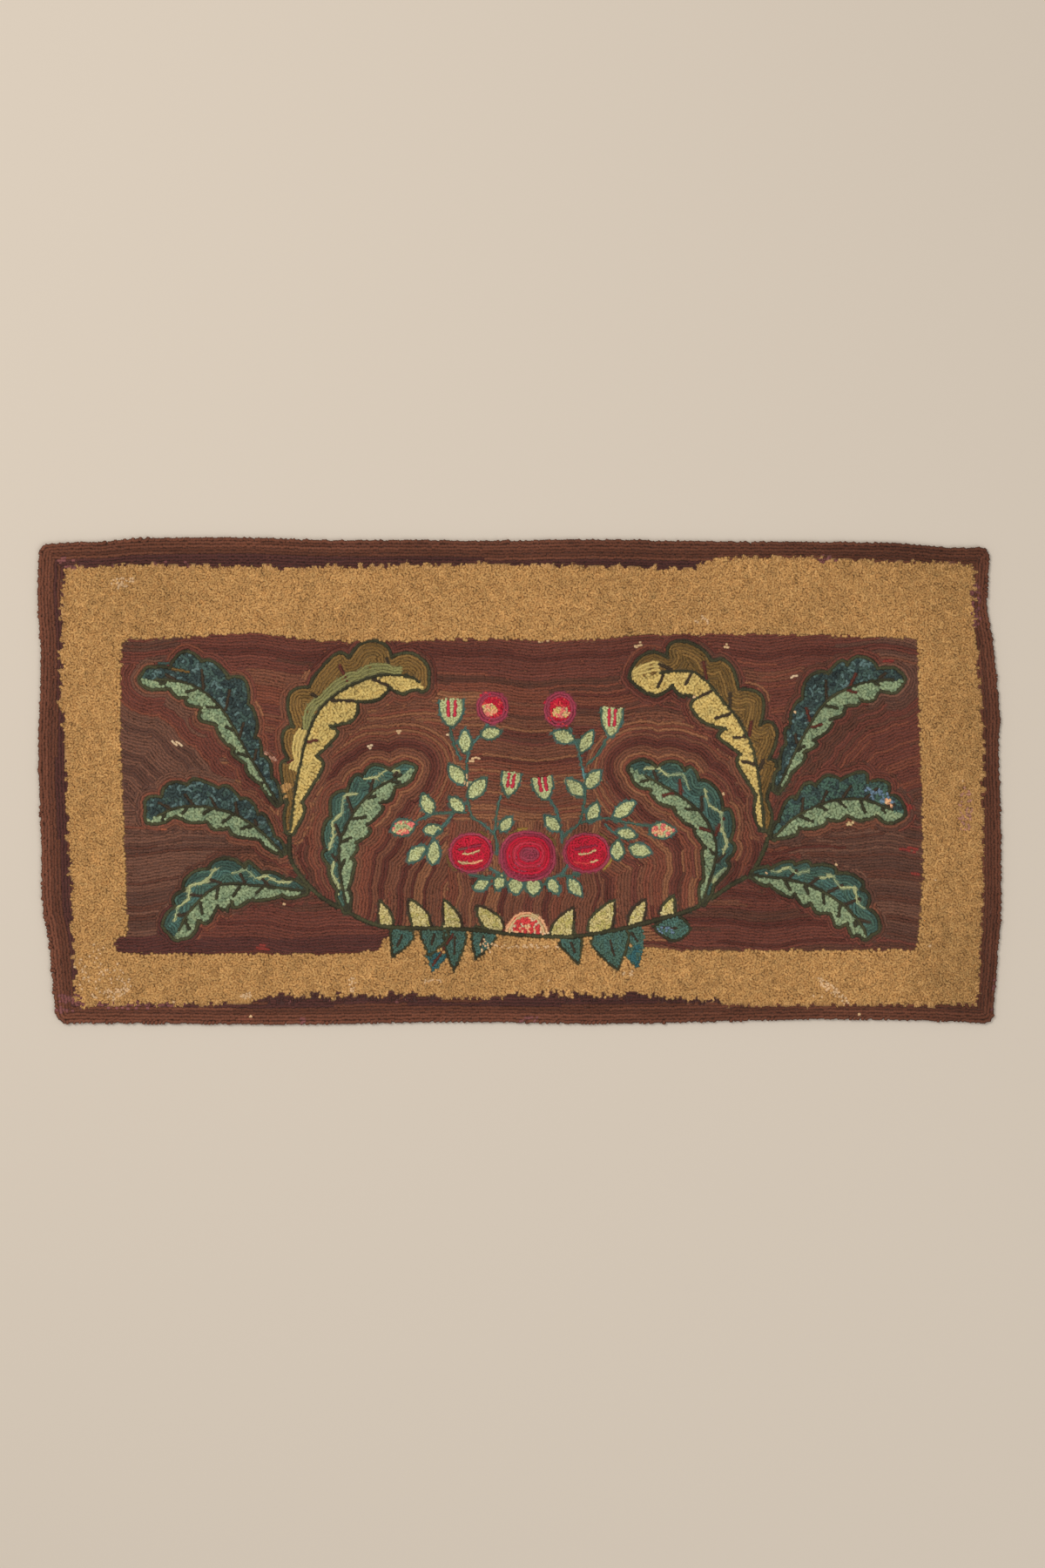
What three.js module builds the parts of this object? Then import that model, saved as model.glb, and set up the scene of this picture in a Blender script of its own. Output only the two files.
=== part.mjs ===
// A hand-hooked floor rug, lying flat: strips of wool drawn in rows of loops through one foundation cloth.
// Millimetres, +Z up, +X along the rug, the flat underside on z = 0 and the origin in its middle.
// The rug is one piece, so it is one solid: a slab with the rug's own uneven edge and a rounded rim.
// Its pile stands at three heights: the rim band, the shaggier frame band inside it, and the field.
import * as THREE from "three";

// Driving dimensions
const RIM_PILE = 8.0;
const FRAME_PILE = 9.5;
const FIELD_PILE = 7.5;
const PILE_STEP_RUN = 3.0; // how far a change of pile height spreads across the rug
const OUTER_CORNER = 14.0;
const FRAME_CORNER = 9.0;
const FIELD_CORNER = 7.0;
const LONG_SIDE_STEPS = 56;
const SHORT_SIDE_STEPS = 28;
const CORNER_STEPS = 5;
const LINE_STEPS = 400; // the fineness at which a side's line is looked up
const CORNER_PASSES = 4; // rounds of stepping from side to side that find where two of them cross

// The rim's section from the underside round to the top: how far in from the edge, as a share of the
// rim band's width, and the height.
const RIM_SECTION = [
  { inset: 0.12, height: 0.0 },
  { inset: 0.035, height: 0.9 },
  { inset: 0.0, height: 2.8 },
  { inset: 0.0, height: 4.6 },
  { inset: 0.03, height: 6.3 },
  { inset: 0.09, height: 7.5 },
  { inset: 0.2, height: RIM_PILE },
];

// Each line round the rug has four sides. A row says how far out the side lies at a place along it:
// for the far and near sides at is x and out is y, and for the left and right sides at is y and out is x.
const RUG_EDGE = {
  far: [
    { at: -735, out: 360 }, { at: -677, out: 363 }, { at: -640, out: 363.5 }, { at: -570, out: 369 },
    { at: -411, out: 370.5 }, { at: -305, out: 366.5 }, { at: -145, out: 366.5 }, { at: -39, out: 365 },
    { at: 121, out: 367.5 }, { at: 227, out: 365 }, { at: 387, out: 364 }, { at: 547, out: 362.5 },
    { at: 600, out: 360 }, { at: 653, out: 355 }, { at: 715, out: 355 },
  ],
  near: [
    { at: -735, out: -370 }, { at: -570, out: -371 }, { at: -358, out: -373 }, { at: -145, out: -369.5 },
    { at: 15, out: -370.5 }, { at: 121, out: -372 }, { at: 281, out: -369 }, { at: 440, out: -365 },
    { at: 600, out: -366.5 }, { at: 735, out: -372 },
  ],
  left: [
    { at: 370, out: -733 }, { at: 287, out: -737 }, { at: 180, out: -731.5 }, { at: 47, out: -735.5 },
    { at: -86, out: -731.5 }, { at: -190, out: -729 }, { at: -245, out: -719 }, { at: -300, out: -714 },
    { at: -375, out: -707 },
  ],
  right: [
    { at: 370, out: 718 }, { at: 340, out: 718 }, { at: 270, out: 714 }, { at: 207, out: 723.5 },
    { at: 100, out: 734 }, { at: 47, out: 732 }, { at: -86, out: 735.5 }, { at: -190, out: 735.5 },
    { at: -265, out: 731 }, { at: -375, out: 722 },
  ],
};

// Where the rim band meets the frame band.
const FRAME_EDGE = {
  far: [
    { at: -700, out: 326 }, { at: -560, out: 329 }, { at: -340, out: 325 }, { at: -120, out: 330 },
    { at: 100, out: 327 }, { at: 270, out: 324 }, { at: 300, out: 338 }, { at: 480, out: 336 },
    { at: 720, out: 327 },
  ],
  near: [
    { at: -700, out: -346 }, { at: -520, out: -344 }, { at: -360, out: -336 }, { at: -130, out: -333 },
    { at: 30, out: -334 }, { at: 200, out: -336 }, { at: 330, out: -341 }, { at: 720, out: -341 },
  ],
  left: [
    { at: 340, out: -695 }, { at: 150, out: -698 }, { at: 0, out: -690 }, { at: -130, out: -685 },
    { at: -240, out: -681 }, { at: -350, out: -676 },
  ],
  right: [
    { at: 340, out: 693 }, { at: 200, out: 697 }, { at: 80, out: 705 }, { at: -160, out: 705 },
    { at: -350, out: 698 },
  ],
};

// Where the frame band meets the field. The near side rises where the garland hangs into the band.
const FIELD_EDGE = {
  far: [
    { at: -610, out: 215 }, { at: -490, out: 220 }, { at: -390, out: 224 }, { at: -285, out: 212 },
    { at: -80, out: 215 }, { at: 95, out: 214 }, { at: 180, out: 222 }, { at: 410, out: 223 },
    { at: 620, out: 215 },
  ],
  near: [
    { at: -620, out: -263 }, { at: -340, out: -263 }, { at: -245, out: -261 }, { at: -180, out: -234 },
    { at: 0, out: -236 }, { at: 130, out: -240 }, { at: 215, out: -259 }, { at: 400, out: -260 },
    { at: 620, out: -260 },
  ],
  left: [
    { at: 220, out: -608 }, { at: 90, out: -611 }, { at: -60, out: -606 }, { at: -220, out: -600 },
    { at: -265, out: -603 },
  ],
  right: [
    { at: 220, out: 609 }, { at: 100, out: 611 }, { at: -100, out: 617 }, { at: -220, out: 612 },
    { at: -265, out: 606 },
  ],
};

// A side's table as a smooth line: where it lies out at any place along it.
function sideLine(rows) {
  const points = rows.map((row) => new THREE.Vector2(row.at, row.out));
  const curve = new THREE.SplineCurve(points).getSpacedPoints(LINE_STEPS);
  const rising = curve[0].x < curve[curve.length - 1].x ? curve : curve.reverse();
  return (at) => {
    const next = rising.findIndex((point) => point.x >= at);
    if (next <= 0) return next === 0 ? rising[0].y : rising[rising.length - 1].y;
    const [low, high] = [rising[next - 1], rising[next]];
    return THREE.MathUtils.mapLinear(at, low.x, high.x, low.y, high.y);
  };
}

// The points of a four-sided line with round corners, anticlockwise from above. Every such line has the
// same number of points, so that point i of one faces point i of the next.
function roundedLoop(table, radius) {
  const side = {
    far: sideLine(table.far),
    near: sideLine(table.near),
    left: sideLine(table.left),
    right: sideLine(table.right),
  };
  const corner = (across, along) => {
    let [x, y] = [side[across](0), side[along](0)];
    for (let pass = 0; pass < CORNER_PASSES; pass += 1) [x, y] = [side[across](y), side[along](x)];
    return { x, y };
  };
  const corners = {
    nearLeft: corner("left", "near"),
    nearRight: corner("right", "near"),
    farRight: corner("right", "far"),
    farLeft: corner("left", "far"),
  };
  const points = [];
  const addCorner = (place, across, along, startAcross) => {
    const inX = -Math.sign(place.x);
    const inY = -Math.sign(place.y);
    for (let step = 0; step <= CORNER_STEPS; step += 1) {
      const turn = ((startAcross ? step : CORNER_STEPS - step) / CORNER_STEPS) * (Math.PI / 2);
      const offX = radius * (1 - Math.cos(turn));
      const offY = radius * (1 - Math.sin(turn));
      const y = side[along](place.x + inX * offX) + inY * offY;
      const x = side[across](y) + inX * offX;
      points.push(new THREE.Vector2(x, y));
    }
  };
  const addLongSide = (along, from, to) => {
    for (let step = 1; step < LONG_SIDE_STEPS; step += 1) {
      const x = THREE.MathUtils.lerp(from, to, step / LONG_SIDE_STEPS);
      points.push(new THREE.Vector2(x, side[along](x)));
    }
  };
  const addShortSide = (across, from, to) => {
    for (let step = 1; step < SHORT_SIDE_STEPS; step += 1) {
      const y = THREE.MathUtils.lerp(from, to, step / SHORT_SIDE_STEPS);
      points.push(new THREE.Vector2(side[across](y), y));
    }
  };
  addCorner(corners.nearLeft, "left", "near", true);
  addLongSide("near", corners.nearLeft.x + radius, corners.nearRight.x - radius);
  addCorner(corners.nearRight, "right", "near", false);
  addShortSide("right", corners.nearRight.y + radius, corners.farRight.y - radius);
  addCorner(corners.farRight, "right", "far", true);
  addLongSide("far", corners.farRight.x - radius, corners.farLeft.x + radius);
  addCorner(corners.farLeft, "left", "far", false);
  addShortSide("left", corners.farLeft.y - radius, corners.nearLeft.y + radius);
  return points;
}

// Both lines' points mixed in a share, at a height: one ring of the slab.
function ring(outer, inner, share, height) {
  return outer.map((point, i) => {
    const mixed = point.clone().lerp(inner[i], share);
    return new THREE.Vector3(mixed.x, mixed.y, height);
  });
}

// The slab's rings from the underside, round the rim and in over the top to the field.
function rugRings() {
  const edge = roundedLoop(RUG_EDGE, OUTER_CORNER);
  const frame = roundedLoop(FRAME_EDGE, FRAME_CORNER);
  const field = roundedLoop(FIELD_EDGE, FIELD_CORNER);
  const rimWidth = Math.abs(edge[0].x - frame[0].x);
  const frameWidth = Math.abs(frame[0].x - field[0].x);
  const rings = RIM_SECTION.map((row) => ring(edge, frame, row.inset, row.height));
  rings.push(ring(edge, frame, 1 - PILE_STEP_RUN / rimWidth, RIM_PILE));
  rings.push(ring(frame, field, 0, FRAME_PILE));
  rings.push(ring(frame, field, 1 - PILE_STEP_RUN / frameWidth, FRAME_PILE));
  rings.push(ring(frame, field, 1, FIELD_PILE));
  return rings;
}

// A closed body from rings that follow one another: walls between them and a flat cap at each end.
function loftGeometry(rings) {
  const count = rings[0].length;
  const positions = rings.flat().flatMap((point) => [point.x, point.y, point.z]);
  const faces = [];
  for (let level = 0; level + 1 < rings.length; level += 1) {
    for (let i = 0; i < count; i += 1) {
      const j = (i + 1) % count;
      const [a, b] = [level * count + i, level * count + j];
      const [c, d] = [a + count, b + count];
      faces.push(a, b, d, a, d, c);
    }
  }
  const flat = (loop) => loop.map((point) => new THREE.Vector2(point.x, point.y));
  const top = (rings.length - 1) * count;
  for (const [a, b, c] of THREE.ShapeUtils.triangulateShape(flat(rings[0]), [])) faces.push(a, c, b);
  for (const [a, b, c] of THREE.ShapeUtils.triangulateShape(flat(rings[rings.length - 1]), [])) {
    faces.push(top + a, top + b, top + c);
  }
  const geometry = new THREE.BufferGeometry();
  geometry.setAttribute("position", new THREE.Float32BufferAttribute(positions, 3));
  geometry.setIndex(faces);
  geometry.computeVertexNormals();
  return geometry;
}

// The body moved so that the middle of its box is over the origin.
function centred(geometry) {
  geometry.computeBoundingBox();
  const middle = geometry.boundingBox.getCenter(new THREE.Vector3());
  return geometry.translate(-middle.x, -middle.y, 0);
}

function hookedRug() {
  const wool = new THREE.MeshStandardMaterial({ color: 0x6b3f30, roughness: 0.95, metalness: 0 });
  const rug = new THREE.Mesh(centred(loftGeometry(rugRings())), wool);
  rug.name = "hooked_rug";
  return rug;
}

const part = new THREE.Group();
part.add(hookedRug());

export default part;
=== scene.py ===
# A hand-hooked wool rug: loops of dyed wool strip pulled in rows through one foundation cloth.
# The rug's edge and its bands come from the frame. The pattern is planned in millimetres on the frame's
# x and y, every loop gets its place, and Geometry Nodes set a loop of wool at each place.
import math
import random

import bpy
import numpy as np
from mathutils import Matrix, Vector, kdtree


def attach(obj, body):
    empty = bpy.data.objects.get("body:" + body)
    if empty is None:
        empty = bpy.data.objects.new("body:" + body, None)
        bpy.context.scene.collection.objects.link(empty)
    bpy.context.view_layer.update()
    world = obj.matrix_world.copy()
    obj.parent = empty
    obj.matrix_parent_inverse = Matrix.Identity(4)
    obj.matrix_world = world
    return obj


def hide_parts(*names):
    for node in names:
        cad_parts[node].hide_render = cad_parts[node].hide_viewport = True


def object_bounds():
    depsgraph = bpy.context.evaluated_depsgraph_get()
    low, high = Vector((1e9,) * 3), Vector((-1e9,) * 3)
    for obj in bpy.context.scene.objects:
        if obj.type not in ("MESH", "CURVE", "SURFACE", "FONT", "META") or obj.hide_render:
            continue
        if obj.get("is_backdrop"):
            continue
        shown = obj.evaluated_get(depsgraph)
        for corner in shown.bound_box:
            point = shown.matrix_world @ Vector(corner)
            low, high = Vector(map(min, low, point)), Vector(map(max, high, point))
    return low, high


mm = 0.001
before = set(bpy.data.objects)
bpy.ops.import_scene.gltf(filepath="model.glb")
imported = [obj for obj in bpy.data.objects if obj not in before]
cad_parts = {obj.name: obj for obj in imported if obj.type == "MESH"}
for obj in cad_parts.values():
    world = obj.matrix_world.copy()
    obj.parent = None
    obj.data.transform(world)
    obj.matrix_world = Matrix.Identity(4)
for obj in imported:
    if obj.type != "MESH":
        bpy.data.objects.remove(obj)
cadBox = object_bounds()
rugNode = "hooked_rug"
print("frame loaded")

# What the photograph's picture shows: 1.6 m across its short side, and the rug a little off its middle
picture = {
    "width": 1.6,
    "proportion": 1.5,
    "cameraHeight": 5.0,
    "middle": (0.0048, -0.0047),
    "sensor": 36.0,
}

floorLook = {"colour": (0.672, 0.585, 0.487), "size": 9.0, "roughness": 0.85}

lamps = {
    "key": {"at": (-2.2, 1.7, 4.4), "size": 2.4, "power": 127.0, "colour": (1.0, 0.975, 0.94)},
    "fill": {"at": (2.2, -2.4, 4.2), "size": 3.0, "power": 62.0, "colour": (0.96, 0.98, 1.0)},
    "room": {"colour": (1.0, 0.985, 0.96), "strength": 0.46},
}

# How the rug is hooked, in millimetres: pitch lies between rows and step between a row's loops. crowding is
# the least share of a step between loops of rows, and packed how much of a loop's height the cloth takes up
hooking = {
    "pitch": 4.9,
    "step": 4.3,
    "crowding": 0.84,
    "curlStep": 3.7,
    "curlGap": 3.3,
    "fillGap": 3.1,
    "loopLength": 7.4,
    "loopWidth": 5.6,
    "lean": 0.13,
    "packed": 0.85,
    "rimPile": 8.0,
    "framePile": 9.3,
    "fieldPile": 7.5,
    "tuftPile": 9.0,
    "seed": 58,
}


# Camera, lights and floor

def makeCamera():
    data = bpy.data.cameras.new("rug_camera")
    data.sensor_width = picture["sensor"]
    data.lens = picture["sensor"] * picture["cameraHeight"] / (picture["width"] * picture["proportion"])
    camera = bpy.data.objects.new("rug_camera", data)
    camera.location = (*picture["middle"], picture["cameraHeight"])
    bpy.context.scene.collection.objects.link(camera)
    bpy.context.scene.camera = camera
    bpy.context.scene.view_settings.view_transform = "Standard"


def makeLamp(name, lamp):
    data = bpy.data.lights.new(name, "AREA")
    data.size = lamp["size"]
    data.energy = lamp["power"]
    data.color = lamp["colour"]
    light = bpy.data.objects.new(name, data)
    light.location = lamp["at"]
    light.rotation_euler = (-Vector(lamp["at"])).to_track_quat("-Z", "Y").to_euler()
    bpy.context.scene.collection.objects.link(light)


def makeRoomLight():
    world = bpy.data.worlds.new("room")
    world.use_nodes = True
    background = world.node_tree.nodes["Background"]
    background.inputs["Color"].default_value = (*lamps["room"]["colour"], 1)
    background.inputs["Strength"].default_value = lamps["room"]["strength"]
    bpy.context.scene.world = world


def makeFloor():
    half = floorLook["size"] / 2
    mesh = bpy.data.meshes.new("floor")
    corners = [(-half, -half, 0), (half, -half, 0), (half, half, 0), (-half, half, 0)]
    mesh.from_pydata(corners, [], [(0, 1, 2, 3)])
    floor = bpy.data.objects.new("floor", mesh)
    bpy.context.scene.collection.objects.link(floor)
    material = bpy.data.materials.new("floor")
    material.use_nodes = True
    shader = material.node_tree.nodes["Principled BSDF"]
    shader.inputs["Base Color"].default_value = (*floorLook["colour"], 1)
    shader.inputs["Roughness"].default_value = floorLook["roughness"]
    mesh.materials.append(material)
    floor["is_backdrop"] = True


makeCamera()
for lampName in ("key", "fill"):
    makeLamp(lampName, lamps[lampName])
makeRoomLight()
makeFloor()
print("camera, lights and floor")


# The rug's own lines, read from the frame in millimetres

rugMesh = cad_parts[rugNode].data
frameCorners = np.zeros(len(rugMesh.vertices) * 3, np.float32)
rugMesh.vertices.foreach_get("co", frameCorners)
frameCorners = frameCorners.reshape(-1, 3).astype(float) / mm
halfLength = abs(frameCorners[:, 0]).max()
halfWidth = abs(frameCorners[:, 1]).max()


def ringAt(height, inner, outer):
    # the frame's corners at one height, between two shares of the way out, in order round the middle
    share = np.maximum(abs(frameCorners[:, 0]) / halfLength, abs(frameCorners[:, 1]) / halfWidth)
    level = abs(frameCorners[:, 2] - height) < 0.1
    found = frameCorners[level & (share > inner) & (share < outer)][:, :2].round(1)
    ring = np.unique(found, axis=0)
    return ring[np.argsort(np.arctan2(ring[:, 1], ring[:, 0]))]


# Where the frame holds each line: its height, and the shares of the way out that it lies between
frameRings = {"edge": (4.6, 0.85, 1.1), "frame": (9.5, 0.855, 1.1), "field": (7.5, 0.0, 0.855)}
edgeLine, frameLine, fieldLine = (ringAt(*facts) for facts in frameRings.values())
print("rug lines", len(edgeLine), len(frameLine), len(fieldLine))


# Wool dyes, as red, green and blue out of 255

dyes = {
    "rimBrown": (102, 63, 49), "rimDeep": (90, 55, 43), "rimPlum": (74, 45, 42), "mauve": (112, 70, 69),
    "maroon": (101, 58, 49), "maroonDeep": (88, 49, 42), "brick": (113, 66, 52), "brown": (109, 69, 54),
    "tan": (127, 85, 62), "taupe": (103, 71, 59), "taupeDeep": (88, 60, 51), "plum": (82, 48, 44),
    "rust": (114, 69, 55), "rustLight": (136, 80, 60), "rustRed": (124, 54, 48), "umber": (88, 56, 46),
    "ochre": (169, 131, 83), "ochreLight": (178, 140, 90), "ochreDeep": (160, 122, 76),
    "moss": (64, 64, 46), "mossDeep": (55, 54, 40), "bark": (60, 50, 40), "veinRed": (88, 48, 40),
    "paleGreen": (124, 140, 110), "paleGreenLight": (134, 149, 117), "sage": (112, 130, 103),
    "sageOlive": (128, 126, 82), "ink": (50, 63, 63), "inkDeep": (42, 53, 55), "inkTeal": (62, 81, 77),
    "inkPale": (82, 104, 104), "teal": (68, 93, 83), "tealDeep": (58, 80, 74), "seaTeal": (70, 100, 94),
    "sky": (96, 118, 138), "hangBlue": (52, 92, 97), "stemBlue": (92, 136, 138), "olive": (119, 92, 53),
    "oliveDeep": (103, 80, 46), "goldOlive": (150, 122, 58), "straw": (188, 166, 104),
    "strawDeep": (179, 156, 95), "creamGreen": (164, 170, 126), "creamGreenLight": (174, 181, 137),
    "cream": (190, 166, 124), "toothCream": (180, 167, 115), "toothLight": (188, 177, 127),
    "lime": (168, 158, 98), "peach": (222, 160, 122), "rose": (204, 110, 104), "rosePink": (174, 50, 68),
    "red": (176, 32, 55), "redLight": (190, 62, 64), "redDeep": (166, 34, 52), "raspberry": (142, 58, 76),
    "raspberryDeep": (134, 44, 64), "worn": (190, 160, 124), "wornPink": (164, 122, 104),
    "spark": (198, 174, 144),
}


# Grid that the pattern is planned on

cell = 1.5
cellsEachWay = (500, 256)
gridX, gridY = (np.arange(-cell * count, cell * count, cell) for count in cellsEachWay)
cellX, cellY = np.meshgrid(gridX, gridY)
bedOf = np.zeros(cellX.shape, np.int16)
guide = np.zeros(cellX.shape)
aimX = np.zeros(cellX.shape)
aimY = np.ones(cellX.shape)
beds = [None]
chance = random.Random(hooking["seed"])
loops = []
crowd = {}
crowdCell = 6.0


def slowNoise(x, y, scale, seed, count=7, peak=3.2):
    # smooth random light and dark over the rug: long waves, divided by about the peak of their sum
    roll = np.random.default_rng(seed)
    total = np.zeros(np.shape(x))
    for _ in range(count):
        angle, start = roll.uniform(0, 2 * math.pi, 2)
        size = scale * roll.uniform(0.6, 1.7)
        total += np.sin((x * math.cos(angle) + y * math.sin(angle)) * 2 * math.pi / size + start)
    return total / peak


def smoothPath(points, perSpan=10, closed=False):
    # a smooth line through a few points
    points = np.asarray(points, float)
    if closed:
        points = np.concatenate((points[-1:], points, points[:2]))
    else:
        points = np.concatenate((2 * points[:1] - points[1:2], points, 2 * points[-1:] - points[-2:-1]))
    share = np.linspace(0, 1, perSpan, endpoint=False)[:, None]
    spans = []
    for a, b, c, d in zip(points, points[1:], points[2:], points[3:]):
        curve = (2 * a - 5 * b + 4 * c - d) * share**2 + (3 * b - a - 3 * c + d) * share**3
        spans.append(0.5 * (2 * b + (c - a) * share + curve))
    if not closed:
        spans.append(points[-2:-1])
    return np.concatenate(spans)


def lengthsAlong(path):
    return np.concatenate(([0.0], np.cumsum(np.hypot(*np.diff(path, axis=0).T))))


def evenSteps(path, step, closed=False):
    # places at even steps along a line, each with the direction of the line there
    path = np.asarray(path, float)
    if closed:
        path = np.concatenate((path, path[:1]))
    at = lengthsAlong(path)
    count = max(1, round(at[-1] / step))
    where = (np.arange(count) + 0.5) * at[-1] / count
    x, y = (np.interp(where, at, path[:, k]) for k in (0, 1))
    ahead = np.array([[np.interp(where + s, at, path[:, k]) for k in (0, 1)] for s in (1.5, -1.5)])
    turn = np.arctan2(*(ahead[0] - ahead[1])[::-1])
    return list(zip(x.tolist(), y.tolist(), turn.tolist()))


def inside(outline):
    # the cells within a closed outline
    within = np.zeros(cellX.shape, bool)
    for (ax, ay), (bx, by) in zip(outline, np.roll(outline, -1, 0)):
        low, high = sorted((ay, by))
        rows = slice(*np.searchsorted(gridY, (low, high)))
        cut = ax + (bx - ax) * (gridY[rows] - ay) / ((by - ay) or 1)
        within[rows] ^= gridX[None, :] < cut[:, None]
    return within


def layBed(mask, **facts):
    # a part of the rug that is hooked in one way
    beds.append(facts)
    bedOf[mask] = len(beds) - 1
    return len(beds) - 1


def followEdge(mask, points):
    # rows in these cells keep their distance from the points. Returns the nearest point of each cell
    tree = kdtree.KDTree(len(points))
    for i, (x, y) in enumerate(points):
        tree.insert((x, y, 0), i)
    tree.balance()
    here = np.stack((cellX[mask], cellY[mask]), 1)
    found = [tree.find((x, y, 0))[1] for x, y in here.tolist()]
    away = here - np.asarray(points)[found]
    reach = np.maximum(np.hypot(*away.T), 0.01)
    guide[mask] = reach
    aimX[mask], aimY[mask] = (away / reach[:, None]).T
    return np.array(found)


def followWave(mask, waves, upright=False):
    # rows in these cells run along the rug in a slow wave, or upright across it
    along, across = (cellY, cellX) if upright else (cellX, cellY)
    rise = sum(height * np.sin(along / length * 2 * math.pi + start) for height, length, start in waves)
    slope = sum(height * 2 * math.pi / length * np.cos(along / length * 2 * math.pi + start)
                for height, length, start in waves)
    size = np.hypot(slope, 1)
    guide[mask] = (across + rise)[mask] + 1000
    aimX[mask] = (1 / size if upright else slope / size)[mask]
    aimY[mask] = (slope / size if upright else 1 / size)[mask]


def isFree(x, y, gap):
    i, j = int(x // crowdCell), int(y // crowdCell)
    for a in (i - 1, i, i + 1):
        for b in (j - 1, j, j + 1):
            for px, py, room in crowd.get((a, b), ()):
                clear = gap + room
                if (px - x) * (px - x) + (py - y) * (py - y) < clear * clear:
                    return False
    return True


def holdPlace(x, y, room=0.0):
    # room is what this loop keeps clear round it beyond the newcomer's own gap
    crowd.setdefault((int(x // crowdCell), int(y // crowdCell)), []).append((x, y, room))


def pullLoop(x, y, turn, dye, piece, size=(1.0, 1.0), pile=None, shade=1.0):
    pile = hooking["fieldPile"] if pile is None else pile
    loops.append((x, y, turn, size[0], size[1], pile, dye, shade, piece))


def hookLine(path, dyes, size=(1.0, 1.0), gap=2.9, room=0.0, closed=False, piece="pile_flowers"):
    # one row of loops along a drawn line, in strips of the dyes that take turns by chance
    strip = 0
    fresh = []
    for x, y, turn in evenSteps(path, hooking["step"] * size[0], closed):
        if not isFree(x, y, gap):
            continue
        if strip <= 0:
            name, shade, strip = chance.choice(dyes), chance.gauss(1, 0.05), chance.randint(3, 14)
        strip -= 1
        holdPlace(x, y)
        fresh.append((x, y))
        pullLoop(x, y, turn, name, piece, size, None, shade)
    for x, y in fresh if room else ():
        holdPlace(x, y, room)


# Large leaves of the two sprays. spine runs from base to tip, and left and right are the half widths at
# leafStations along it. lobes and depth, how deep they are cut, belong to the left and the right side in
# turn, and echo is the number of ground rows that follow the leaf. A strip is laid along a side, at shares of
# its width, and veinsAt says side, start, how far ahead the vein ends, how far out, and its dye

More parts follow.
